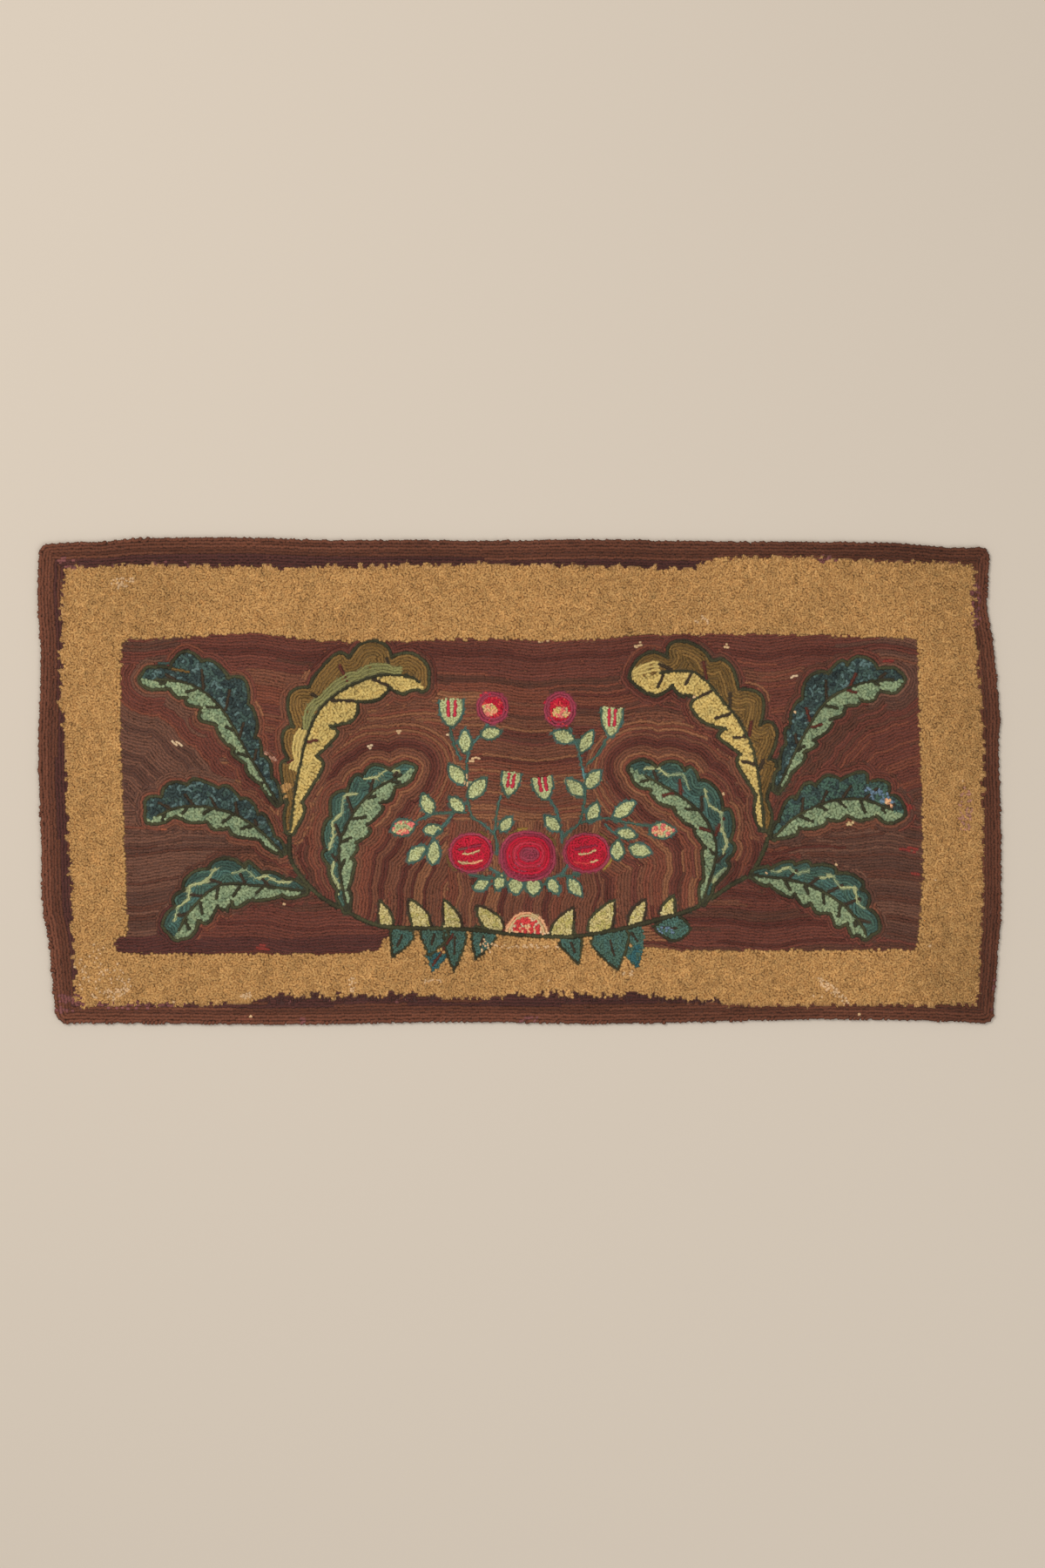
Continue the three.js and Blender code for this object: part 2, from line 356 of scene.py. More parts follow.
leafStations = (0.15, 0.35, 0.55, 0.75, 0.92)
bigLeaves = [
    {
        "name": "leftHigh", "spine": [(-367, -37), (-417, 45), (-456, 111), (-507, 149), (-582, 155)],
        "left": (11, 19, 29, 25, 15), "right": (16, 27, 49, 45, 17), "lobes": (8, 8), "depth": (8, 9),
        "leftWool": "paleGreen", "rightWool": "ink", "veins": "bark", "echo": 14,
    },
    {
        "name": "leftMiddle", "spine": [(-359, -113), (-403, -71), (-447, -47), (-513, -39), (-572, -62)],
        "left": (12, 26, 28, 19, 12), "right": (13, 27, 39, 38, 24), "lobes": (5, 7), "depth": (6, 9),
        "leftWool": "paleGreen", "rightWool": "ink", "veins": "bark", "echo": 3,
    },
    {
        "name": "leftLow", "spine": [(-324, -169), (-403, -160), (-459, -160), (-503, -198), (-528, -243)],
        "left": (14, 26, 37, 30, 20), "right": (19, 28, 36, 33, 23), "lobes": (6, 7), "depth": (8, 8),
        "leftWool": "paleGreen", "rightWool": "teal", "veins": "bark", "echo": 2, "glint": "right",
    },
    {
        "name": "leftYellow",
        "spine": [(-351, -81), (-340, 2), (-321, 78), (-290, 125), (-227, 158), (-171, 160), (-140, 141)],
        "left": (14, 30, 46, 51, 29), "right": (19, 31, 39, 35, 24), "lobes": (7, 6), "depth": (14, 14),
        "leftWool": "olive", "rightWool": "straw", "veins": "veinRed", "echo": 3, "foot": 8,
        "strips": [
            {"side": "left", "along": (0.42, 0.88), "rows": (0.12, 0.23, 0.34), "dyes": ["sageOlive"]},
            {"side": "left", "along": (0.25, 0.42), "rows": (0.15, 0.31, 0.47), "dyes": ["straw"]},
        ],
        "veinsAt": [
            ("right", 0.37, 0.02, 0.45, "veinRed"), ("right", 0.56, 0.09, 0.62, "bark"),
            ("right", 0.75, 0.08, 0.7, "bark"), ("left", 0.3, -0.03, 0.75, "veinRed"),
            ("left", 0.43, -0.02, 0.5, "bark"), ("left", 0.55, -0.01, 0.62, "bark"),
            ("left", 0.66, 0.0, 0.68, "veinRed"), ("left", 0.84, -0.02, 0.6, "bark"),
        ],
    },
    {
        "name": "leftInner", "spine": [(-263, -201), (-275, -131), (-270, -81), (-230, -21), (-157, 22)],
        "left": (13, 26, 36, 33, 16), "right": (13, 26, 32, 24, 14), "lobes": (8, 7), "depth": (9, 8),
        "leftWool": "teal", "rightWool": "paleGreen", "veins": "bark", "echo": 13, "glint": "left",
    },
    {
        "name": "rightHigh", "spine": [(392, -18), (436, 71), (474, 125), (531, 151), (590, 156)],
        "left": (15, 30, 40, 41, 18), "right": (12, 21, 30, 28, 20), "lobes": (8, 8), "depth": (9, 8),
        "leftWool": "ink", "rightWool": "paleGreen", "veins": "veinRed", "echo": 14,
    },
    {
        "name": "rightMiddle", "spine": [(386, -88), (426, -53), (477, -31), (528, -29), (590, -53)],
        "left": (20, 34, 37, 33, 18), "right": (19, 28, 32, 24, 18), "lobes": (7, 5), "depth": (9, 7),
        "leftWool": "inkTeal", "rightWool": "paleGreen", "veins": "bark", "echo": 3,
    },
    {
        "name": "rightLow", "spine": [(353, -143), (429, -155), (484, -181), (523, -219), (532, -242)],
        "left": (17, 33, 40, 41, 18), "right": (15, 24, 31, 27, 16), "lobes": (7, 6), "depth": (8, 8),
        "leftWool": "teal", "rightWool": "paleGreen", "veins": "bark", "echo": 2, "glint": "left",
    },
    {
        "name": "rightYellow",
        "spine": [(375, -76), (367, -1), (356, 51), (335, 93), (309, 125), (283, 155), (252, 168),
                  (168, 158)],
        "left": (11, 29, 35, 38, 24), "right": (12, 35, 41, 40, 26), "lobes": (6, 7), "depth": (13, 14),
        "leftWool": "straw", "rightWool": "olive", "veins": "veinRed", "echo": 3, "foot": 10,
        "strips": [{"side": "right", "along": (0.87, 0.985), "rows": (0.16, 0.34, 0.52), "dyes": ["straw"]}],
    },
    {
        "name": "rightInner", "spine": [(279, -190), (301, -111), (286, -61), (249, -25), (166, 22)],
        "left": (13, 22, 26, 24, 16), "right": (12, 28, 40, 43, 19), "lobes": (6, 8), "depth": (7, 9),
        "leftWool": "paleGreen", "rightWool": "teal", "veins": "veinRed", "echo": 13, "glint": "right",
    },
]

# How a half leaf is hooked: in rows along its edge, or in small curls
leafWool = {
    "paleGreen": {"style": "curls", "dyes": ["paleGreen", "paleGreen", "paleGreenLight", "sage"]},
    "ink": {"style": "curls", "dyes": ["ink", "ink", "ink", "inkDeep", "inkTeal", "inkTeal", "inkPale"]},
    "inkTeal": {"style": "curls", "dyes": ["inkTeal", "teal", "teal", "ink"]},
    "teal": {"style": "rows", "dyes": ["teal", "teal", "tealDeep", "seaTeal"]},
    "olive": {"style": "rows", "dyes": ["olive", "olive", "oliveDeep"]},
    "straw": {"style": "curls", "dyes": ["straw", "straw", "strawDeep"]},
}


# How a leaf's edge is cut: fullness is the least and the most of a lobe, and lean how far lobes point ahead
leafCut = {
    "foot": 5,
    "fullness": (0.62, 1.25),
    "roundness": 0.75,
    "deepest": 1.4,
    "mostOfWidth": 0.55,
    "middle": 0.62,
    "leanMiddle": 0.6,
    "lean": 0.6,
    "leanWidth": 12,
}

# Kinds of line on the leaves. size is a share of a loop's length and width, gap the room that a loop needs,
# and room what it keeps clear for itself from then on
leafLines = {
    "outline": {"dyes": ["moss", "moss", "mossDeep"], "size": (1.0, 1.2), "gap": 3.2, "room": 0.8,
                "closed": True},
    "midrib": {"dyes": ["moss", "mossDeep"], "size": (0.95, 0.9), "gap": 3.0, "room": 0.5},
    "glint": {"dyes": ["creamGreen", "creamGreen", "paleGreenLight"], "size": (0.75, 0.62), "gap": 1.9},
    "strip": {"gap": 2.8},
    "vein": {"size": (0.85, 1.0), "gap": 2.3, "room": 0.6},
}
for kind in leafLines.values():
    kind["piece"] = "pile_leaves"

# A glint zigzags between two shares of the half width, and breaks off once in every few of its stretches
glintPath = {"first": 0.75, "last": 0.25, "apart": 0.5, "outer": 0.72, "inner": 0.42, "breaks": 6}
ribShare = 0.93  # how much of the way to the tip the midrib goes

# Veins where a leaf has no list of its own: a straw half is barred, the others have slanting veins
veinPlan = {
    "straw": {"count": 6, "first": 0.24, "apart": 0.118, "ahead": 0.02, "root": 0.1, "reach": 0.56},
    "other": {"count": 5, "first": 0.24, "apart": 0.145, "ahead": 0.05, "root": 0.06, "reach": 0.44},
}


def leafSide(leaf, side):
    # the lobed outline of one side from base to tip, with the spine beside it
    spine = smoothPath(leaf["spine"], 40)
    at = lengthsAlong(spine)
    share = at / at[-1]
    ahead = np.gradient(spine, axis=0)
    ahead /= np.hypot(*ahead.T)[:, None]
    across = np.stack((-ahead[:, 1], ahead[:, 0]), 1) * (1 if side == "left" else -1)
    lobes, depth = (leaf[key][0 if side == "left" else 1] for key in ("lobes", "depth"))
    half = np.interp(share, (0, *leafStations), (leaf.get("foot", leafCut["foot"]), *leaf[side]))
    last = leafStations[-1]
    half = half * np.sqrt(np.clip(1 - (np.clip(share - last, 0, 1) / (1 - last)) ** 2, 0, 1))
    uneven = share + 0.016 * np.sin(share * 15 + lobes) + 0.01 * np.sin(share * 31 + len(leaf["name"]))
    dice = np.random.default_rng(len(leaf["name"]) * 7 + lobes + (side == "left"))
    lobeOf = np.clip((lobes * uneven).astype(int), 0, lobes + 1)
    fullness = dice.uniform(*leafCut["fullness"], lobes + 2)[lobeOf]
    bulge = np.abs(np.sin(math.pi * lobes * uneven)) ** leafCut["roundness"] * fullness
    deep = np.minimum(depth * leafCut["deepest"], half * leafCut["mostOfWidth"])
    half = half + deep * (bulge - leafCut["middle"])
    lean = ahead * ((bulge - leafCut["leanMiddle"]) * deep * leafCut["lean"])[:, None]
    toEdge = across * half[:, None] + lean * np.clip(half / leafCut["leanWidth"], 0, 1)[:, None]
    return spine, toEdge, share


def leafShape(leaf):
    (spine, toLeft), (_, toRight) = (leafSide(leaf, side)[:2] for side in ("left", "right"))
    left, right = spine + toLeft, spine + toRight
    return {
        "outline": np.concatenate((left, right[::-1])),
        "left": np.concatenate((left, spine[::-1])),
        "right": np.concatenate((right, spine[::-1])),
        "spine": spine,
    }


def hookGlints(leaf, lobes, spine, toEdge, share):
    # a pale zigzag inside the edge, from lobe to lobe, that breaks off here and there
    corners = []
    bends = np.arange(glintPath["first"], lobes - glintPath["last"], glintPath["apart"])
    for k, at in enumerate(bends / lobes):
        spot = np.searchsorted(share, at)
        corners.append(spine[spot] + toEdge[spot] * glintPath["inner" if k % 2 else "outer"])
    for k, ends in enumerate(zip(corners, corners[1:])):
        if (k + len(leaf["name"])) % glintPath["breaks"]:
            hookLine(ends, **leafLines["glint"])


def plannedVeins(leaf, side):
    # start, how far ahead the vein ends, the share of the width that it starts and ends at, and its dye
    if "veinsAt" in leaf:
        return [(at, ahead, 0.0, reach, dye) for own, at, ahead, reach, dye in leaf["veinsAt"] if own == side]
    wool = leaf[side + "Wool"]
    plan = veinPlan.get(wool, veinPlan["other"])
    plain = "mossDeep" if wool == "paleGreen" else "bark"
    veins = []
    for k in range(plan["count"]):
        at = plan["first"] + plan["apart"] * k + (0.03 if side == "left" else 0)
        reach = plan["reach"] + 0.2 * ((k * 7 + len(leaf["name"])) % 3) / 2
        special = k % 2 and wool != "straw" and leaf["veins"] != "bark"
        veins.append((at, plan["ahead"], plan["root"], reach, leaf["veins"] if special else plain))
    return veins


def hookLeafLines(leaf, shape):
    # outline, midrib, glints, strips and veins of a large leaf
    hookLine(shape["outline"], **leafLines["outline"])
    rib = shape["spine"]
    hookLine(rib[: int(len(rib) * ribShare)], **leafLines["midrib"])
    for k, side in enumerate(("left", "right")):
        spine, toEdge, share = leafSide(leaf, side)
        if leaf.get("glint") == side:
            hookGlints(leaf, leaf["lobes"][k], spine, toEdge, share)
        for strip in leaf.get("strips", ()):
            if strip["side"] == side:
                keep = (share > strip["along"][0]) & (share < strip["along"][1])
                for wide in strip["rows"]:
                    hookLine((spine + toEdge * wide)[keep], strip["dyes"], **leafLines["strip"])
        for at, ahead, root, reach, dye in plannedVeins(leaf, side):
            start, far = np.searchsorted(share, (at, at + ahead))
            ends = [spine[start] + toEdge[start] * root, spine[far] + toEdge[far] * reach]
            hookLine(ends, [dye], **leafLines["vein"])


# Garland under the sprays

garlandLine = [
    (-352, -85), (-347, -126), (-311, -171), (-260, -202), (-215, -221), (-159, -225), (-81, -227), (4, -236),
    (80, -238), (147, -228), (208, -213), (269, -194), (320, -162), (356, -138), (378, -95), (386, -48),
]

# Teeth that stand on the garland: x and y of the foot's middle, width, height, and how far to the right of
# the foot the point lies
teeth = [
    (-204, -218, 24, 36, -11), (-149, -222, 29, 42, -22), (-101, -224, 28, 43, -16),
    (-38, -226, 30, 36, -28), (64, -234, 34, 40, 20), (122, -230, 38, 48, 24), (177, -219, 24, 38, 17),
    (226, -204, 24, 30, 11),
]

halfFlower = {"at": (11, -236), "size": (33, 36)}

# Teal leaves that hang from the garland: turn is the way from base to tip, in degrees. Each is grown a
# little, is widest at the share swell of its length, and has its vein between two more shares
hangingForm = {"longer": 3, "wider": 2, "swell": 0.2, "vein": (0.18, 0.62)}
hangingLeaves = [
    {"base": (-176, -227), "length": 46, "width": 34, "turn": -112},
    {"base": (-128, -226), "length": 42, "width": 42, "turn": -104},
    {"base": (-126, -262), "length": 34, "width": 30, "turn": -102, "plain": True},
    {"base": (-98, -226), "length": 65, "width": 33, "turn": -92},
    {"base": (-52, -228), "length": 46, "width": 36, "turn": -108},
    {"base": (76, -238), "length": 44, "width": 32, "turn": -70},
    {"base": (136, -232), "length": 58, "width": 58, "turn": -76},
    {"base": (168, -226), "length": 40, "width": 36, "turn": -56, "bare": True},
    {"base": (174, -254), "length": 35, "width": 32, "turn": -78, "plain": True},
    {"base": (206, -224), "length": 56, "width": 36, "turn": -2, "swell": 0.58},
]

# Roses and small round flowers: rings of one row each from the edge inwards, then the heart
flowers = [
    {"at": (-74, -110), "size": (34, 31), "rings": ["raspberry", "redDeep"],
     "heart": ["red", "red", "redDeep"]},
    {"at": (13, -115), "size": (43, 39), "square": 0.16, "heart": ["raspberry"],
     "rings": ["raspberry", "raspberryDeep", "red", "redDeep", "rosePink", "red", "raspberry"]},
    {"at": (103, -110), "size": (36, 31), "rings": ["raspberry", "redDeep"],
     "heart": ["red", "red", "redDeep"]},
    {"at": (-41, 112), "size": (25, 25), "rings": ["raspberry", "raspberry"],
     "heart": ["red", "redLight", "red"], "eye": (-5, -3)},
    {"at": (62, 109), "size": (25, 27), "rings": ["raspberry", "raspberry"],
     "heart": ["red", "redLight", "red"], "eye": (2, -4)},
]

# How a flower's rings of petals lie: the first inside its edge, the next ones closer in and a little aside
petals = {"square": 0.06, "first": 2.2, "apart": 4.7, "aside": (0.4, 0.5), "eye": (13, 10)}

# Short arcs of yellowish olive outside the roses: middle, radii and the angles from and to
roseEdges = [
    ((-74, -110), (37, 34), 186, 236), ((-74, -110), (37, 34), 48, 76), ((13, -115), (46, 42), 92, 134),
    ((13, -115), (46, 42), 22, 56), ((103, -110), (39, 34), -46, -14), ((103, -110), (39, 34), 36, 64),
]

tulips = [
    {"at": (-104, 104), "size": (38, 42), "turn": 0},
    {"at": (141, 90), "size": (33, 44), "turn": -3},
    {"at": (-14, -5), "size": (29, 36), "turn": -10},
    {"at": (37, -11), "size": (32, 36), "turn": 10},
]

# Small leaves of the middle spray: x and y of the middle, length, width and the way from base to tip
smallLeaves = [
    (-83, 61, 34, 16, 92), (-43, 73, 30, 15, 8), (-96, 10, 36, 18, 125), (-64, -11, 38, 19, 48),
    (-96, -36, 29, 15, 132), (-141, -35, 33, 17, 115), (-132, -75, 27, 14, 2), (-157, -111, 34, 17, 40),
    (-131, -109, 36, 17, 86), (-20, -66, 25, 13, 50), (-58, -159, 24, 13, 28), (-30, -154, 24, 13, 72),
    (-6, -161, 24, 20, -85), (22, -162, 24, 21, -95), (52, -161, 25, 14, -58), (85, -163, 30, 15, -54),
    (67, 68, 33, 17, 160), (103, 61, 36, 15, 60), (85, -10, 34, 17, 135), (113, 3, 33, 17, 52),
    (113, -48, 31, 16, 68), (161, -43, 38, 17, 36), (50, -65, 30, 15, 134), (165, -81, 29, 14, -12),
    (150, -106, 28, 17, 87), (185, -106, 32, 19, -14),
]
blushLeaves = [(-177, -71, 38, 22, 15), (219, -76, 38, 21, 0)]

# Stems of the middle spray, one row wide
stems = [
    [(-81, 26), (-80, 3), (-79, -29), (-72, -54), (-58, -64), (-44, -76), (-36, -87), (-34, -114)],
    [(-106, 82), (-99, 53), (-89, 32)],
    [(-80, -48), (-108, -49), (-131, -51), (-157, -61)],
    [(-103, -54), (-115, -67), (-128, -80)],
    [(-28, -22), (-34, -48), (-38, -84)],
    [(47, -30), (58, -48), (64, -80), (66, -96)],
    [(101, -2), (102, -14), (98, -41), (90, -66), (71, -81), (64, -96)],
    [(133, 64), (118, 39), (103, 25)],
    [(90, -66), (112, -59), (134, -57), (159, -63), (200, -69)],
    [(131, -66), (147, -81), (156, -84)],
    [(-78, -144), (-50, -147), (-24, -147)], [(-46, -133), (-20, -147)],
    [(44, -150), (65, -142), (74, -128)], [(60, -146), (94, -143)],
]
brightStems = [
    [(-49, 86), (-62, 67), (-74, 53), (-81, 28)],
    [(77, 82), (90, 47), (97, 16), (101, 0)],
]


def turned(points, degrees, at):
    angle = math.radians(degrees)
    spin = np.array([[math.cos(angle), math.sin(angle)], [-math.sin(angle), math.cos(angle)]])
    return np.asarray(points, float) @ spin + np.asarray(at, float)


def leafBlade(length, width, swell=0.46):
    # a plain leaf along x with its base at the origin. swell is where along it the leaf is widest
    share = np.linspace(0, 1, 24)
    half = width / 2 * np.sin(math.pi * share ** (math.log(0.5) / math.log(swell))) ** 0.85
    upper = np.stack((share * length, half), 1)
    return np.concatenate((upper, (upper * (1, -1))[::-1][1:-1]))


def toothShape(tooth):
    # a curved fin: its back swells away from the lean, its front is nearly straight
    x, y, wide, high, lean = tooth
    half = wide / 2
    side = math.copysign(1, lean)
    back = [(x - side * half, y), (x - side * half * 0.62, y + high * 0.45),
            (x + lean * 0.42, y + high * 0.86), (x + lean, y + high)]
    front = [(x + lean, y + high), (x + lean * 0.72 + side * half * 0.3, y + high * 0.5),
             (x + side * half, y)]
    return smoothPath(back, 8), smoothPath(front, 8)


def ellipse(at, size, square=0.0, count=48):
    turn = np.linspace(0, 2 * math.pi, count, endpoint=False)
    power = 1 - square
    x = np.sign(np.cos(turn)) * np.abs(np.cos(turn)) ** power
    y = np.sign(np.sin(turn)) * np.abs(np.sin(turn)) ** power
    return np.stack((at[0] + size[0] * x, at[1] + size[1] * y), 1)


# Lay the beds: the rim, the frame, the field, and then what is drawn on them

# How a bed's outline wanders: the steps along it, the power that keeps long tufts rare, and each one's jitter
raggedness = {"step": 4.2, "rarity": 1.6, "frame": 1.2, "field": 1.0}

# Loose ends of wool between frame and rim: how often one is left out, how far they turn aside, and how their
# reach follows the tufts of the line there
looseEnds = {"step": 5.5, "missing": 0.4, "lean": 0.5, "share": 0.6, "beyond": 3, "rarity": 2.2, "apart": 3.6}


def raggedLine(line, outward, jitter):
    # outward(x, y) says how far out the line lies there, and how far its longest tufts reach from it
    dice = random.Random(hooking["seed"] + 1)
    shifted = []
    for x, y, turn in evenSteps(line, raggedness["step"], closed=True):
        base, tuft = outward(x, y)
        reach = base + tuft * dice.random() ** raggedness["rarity"] + dice.uniform(-jitter, jitter)
        shifted.append((x + math.sin(turn) * reach, y - math.cos(turn) * reach))
    return np.array(shifted)


# Where ochre tufts reach over the rim, or with a minus where the rim's reach in, first match first: least and
# most x, least and most y, then where the line lies and the longest tuft
tuftPlaces = [
    ((-900, 280), (300, 400), (-3.5, 5.0)),
    ((280, 900), (300, 400), (-1.0, 2.5)),
    ((-900, -650), (-400, 400), (-2.0, 8.0)),
    ((-900, -560), (-400, -300), (-4.0, 0.0)),
    ((-390, -120), (-400, -300), (0.0, -13.0)),
    ((-20, 210), (-400, -300), (0.0, -13.0)),
    ((-900, 0), (-400, -300), (0.0, -5.0)),
    ((0, 305), (-400, -300), (0.0, -8.0)),
    ((305, 900), (-400, -300), (0.0, 0.5)),
    ((-900, 900), (-400, 400), (0.0, 1.5)),
]


def frameTufts(x, y):
    for (lowX, highX), (lowY, highY), reach in tuftPlaces:
        if lowX <= x < highX and lowY <= y < highY:
            return reach


layBed(inside(edgeLine), name="rim", style="rows", piece="pile_rim", pile="rimPile")
rimMask = bedOf == 1
layBed(inside(raggedLine(frameLine, frameTufts, raggedness["frame"])) & rimMask, name="frame", style="curls",
       pile="framePile", piece="pile_frame", fine=0.88,
       dyes=["ochre", "ochre", "ochre", "ochreLight", "ochreDeep"])
fieldMask = inside(raggedLine(fieldLine, lambda x, y: (0.0, 0.0), raggedness["field"]))
hemBand = np.array([(-600, -236), (-612, -238), (-618, -244), (-619, -252), (-615, -260), (-606, -264),
                    (-400, -265), (-250, -264), (-214, -258), (-204, -236)], float)
groundBed = layBed(fieldMask | inside(hemBand), name="ground", style="rows", piece="pile_ground")


def hookLooseEnds():
    # thin ends of wool that cross from the frame on to the rim, or from the rim into the frame
    dice = random.Random(hooking["seed"] + 2)
    for x, y, turn in evenSteps(frameLine, looseEnds["step"], closed=True):
        base, tuft = frameTufts(x, y)
        outward = -1 if tuft < -6 else 1
        wool, piece = ("ochre", "ochreDeep", "ochreLight"), "pile_frame"
        if outward < 0:
            wool, piece = ("rimPlum",), "pile_rim"
        lean = dice.uniform(-looseEnds["lean"], looseEnds["lean"])
        longest = tuft * looseEnds["share"] + outward * looseEnds["beyond"]
        reach = base + outward + longest * dice.random() ** looseEnds["rarity"]
        way = math.atan2(-math.cos(turn), math.sin(turn)) + lean
        if dice.random() < looseEnds["missing"]:
            continue
        for back in (0.0, looseEnds["apart"]):
            along = reach - outward * back
            px, py = x + math.sin(turn) * along, y - math.cos(turn) * along
            if isFree(px, py, 2.0):
                holdPlace(px, py, 0.2)
                name, shade = dice.choice(wool), dice.gauss(1, 0.06)
                pullLoop(px, py, way, name, piece, (0.72, 0.5), hooking["tuftPile"], shade)


hookLooseEnds()

leafShapes = [leafShape(leaf) for leaf in bigLeaves]
for leaf, shape in zip(bigLeaves, leafShapes):
    for side in ("left", "right"):
        wool = leafWool[leaf[side + "Wool"]]
        half = inside(shape[side])
        layBed(half, name="leaf", piece="pile_leaves", **wool)
        if wool["style"] == "rows":
            followEdge(half, shape["outline"])
    hookLeafLines(leaf, shape)
print("large leaves", len(loops))

# Thin olive rows over the back of the high leaf at the left
backRows = [([(-566, 172), (-540, 174), (-505, 166)], ["olive", "oliveDeep", "inkTeal"], 0.8),
            ([(-552, 180), (-528, 181)], ["olive", "inkTeal"], 0.7)]
for points, names, width in backRows:
    hookLine(points, names, (0.9, width), gap=2.6, piece="pile_leaves")

# Middle spray and garland: kinds of line, as for the leaves, and the wool of each small form
sprayLines = {
    "garland": {"dyes": ["mossDeep", "moss", "mossDeep"], "size": (1.0, 1.6), "gap": 2.6, "room": 1.6},
    "hangingEdge": {"dyes": ["moss", "mossDeep"], "size": (0.95, 0.95), "gap": 2.8, "room": 0.4,
                    "closed": True},
    "hangingVein": {"dyes": ["bark"], "size": (0.85, 0.8), "gap": 2.6, "room": 0.3},
    "redVein": {"dyes": ["veinRed"], "size": (0.9, 0.9), "gap": 2.4, "room": 0.3},
    "petalRing": {"size": (0.95, 0.95), "gap": 2.9, "room": 0.3, "closed": True},
    "duskyStreak": {"dyes": ["raspberryDeep", "mauve"], "size": (0.85, 0.75), "gap": 2.4},
    "paleStreak": {"dyes": ["peach", "cream", "ochreLight", "redLight"], "size": (0.7, 0.8), "gap": 2.1},
    "roseEdge": {"dyes": ["goldOlive", "goldOlive", "oliveDeep"], "size": (0.85, 0.7), "gap": 2.3},
    "tulipStripe": {"dyes": ["rosePink"], "size": (0.9, 1.25), "gap": 2.2, "room": 0.6},
    "smallEdge": {"dyes": ["seaTeal", "teal"], "size": (0.8, 0.5), "gap": 2.2},
    "stem": {"dyes": ["seaTeal", "teal"], "size": (0.9, 0.72), "gap": 2.4},
    "brightStem": {"dyes": ["stemBlue", "stemBlue", "seaTeal"], "size": (0.9, 0.8), "gap": 2.4},
    "toothEdge": {"dyes": ["moss", "bark"], "size": (0.9, 0.85), "gap": 2.6, "room": 0.4},
    "arch": {"dyes": ["cream", "cream", "peach"], "size": (0.9, 0.85), "gap": 2.6},
}
sprayWool = {
    "hanging": ["teal", "teal", "seaTeal"],
    "hangingPlain": ["hangBlue", "hangBlue", "teal"],
    "flowerEye": ["cream", "peach", "straw", "rose", "peach"],
    "cup": ["creamGreen", "creamGreen", "creamGreenLight"],
    "blush": ["creamGreen", "peach", "rose"],
    "tooth": ["toothCream", "toothCream", "toothLight", "lime"],
    "rosette": ["redLight", "redLight", "peach", "spark"],
}


def softBed(outline, names):
    # a small form hooked in fine curls
    return layBed(inside(outline), name="motif", style="curls", dyes=names, piece="pile_flowers", fine=0.8)


def hookRose(flower):
    square = flower.get("square", petals["square"])
    (x, y), (asideX, asideY) = flower["at"], petals["aside"]
    softBed(ellipse((x, y), flower["size"], square), flower["heart"])
    if "eye" in flower:
        softBed(ellipse((x + flower["eye"][0], y + flower["eye"][1]), petals["eye"]), sprayWool["flowerEye"])
    for k, dye in enumerate(flower["rings"]):
        radii = [radius - petals["first"] - petals["apart"] * k for radius in flower["size"]]
        ring = ellipse((x + asideX * k, y + asideY * k), radii, square)
        hookLine(ring, [dye], **sprayLines["petalRing"])


def hookRoseStreaks(x, y):
    # pale streaks across a rose, and a dusky one above them
    hookLine(smoothPath([(x - 20, y + 5), (x - 4, y + 8), (x + 16, y + 12)]), **sprayLines["duskyStreak"])
    for start, end, low in (((-13, -2), (14, 4), -2), ((-23, -13), (17, -11), -4)):
        streak = smoothPath([(x + start[0], y + start[1]), (x, y + (start[1] + end[1]) / 2 + low),
                             (x + end[0], y + end[1])])
        hookLine(streak, **sprayLines["paleStreak"])


def hookTulip(tulip):
    w, h = tulip["size"]
    cup = [(-w / 2, h / 2), (-w * 0.46, 0), (-w * 0.2, -h * 0.4), (0, -h / 2), (w * 0.2, -h * 0.4),
           (w * 0.46, 0), (w / 2, h / 2)]
    cup = turned(smoothPath(cup, 6), tulip["turn"], tulip["at"])
    softBed(cup, sprayWool["cup"])
    for offset in (-0.14, 0.16):
        stripe = turned([(w * offset, h * 0.46), (w * offset * 0.8, -h * 0.14)], tulip["turn"], tulip["at"])
        hookLine(stripe, **sprayLines["tulipStripe"])
    hookLine(cup, **sprayLines["smallEdge"])


def hookSmallLeaf(leaf, names):
    # the leaf itself, and one row round it: each is a little larger than the leaf's size in the table
    x, y, length, width, turn = leaf
    blades = [leafBlade(length + more, width + more) - (length / 2 + more / 2, 0) for more in (1, 4)]
    inner, outer = (turned(blade, turn, (x, y)) for blade in blades)
    softBed(inner, names)
    hookLine(outer, closed=True, **sprayLines["smallEdge"])


def halfEllipse(inset):
    arch = ellipse(halfFlower["at"], [r - inset for r in halfFlower["size"]])
    return arch[arch[:, 1] >= halfFlower["at"][1] - 0.01]


hookLine(smoothPath(garlandLine), **sprayLines["garland"])
for leaf in hangingLeaves:
    more, swell = hangingForm["longer"], leaf.get("swell", hangingForm["swell"])
    blade = leafBlade(leaf["length"] + more, leaf["width"] + hangingForm["wider"], swell) - (more, 0)
    blade = turned(blade, leaf["turn"], leaf["base"])
    if leaf.get("plain"):
        softBed(blade, sprayWool["hangingPlain"])
        continue
    softBed(blade, sprayWool["hanging"])
    if not leaf.get("bare"):
        hookLine(blade, **sprayLines["hangingEdge"])
    vein = turned([(leaf["length"] * share, 0) for share in hangingForm["vein"]], leaf["turn"], leaf["base"])
    hookLine(vein, **sprayLines["hangingVein"])
hookLine([(-101, -234), (-133, -283)], **sprayLines["redVein"])

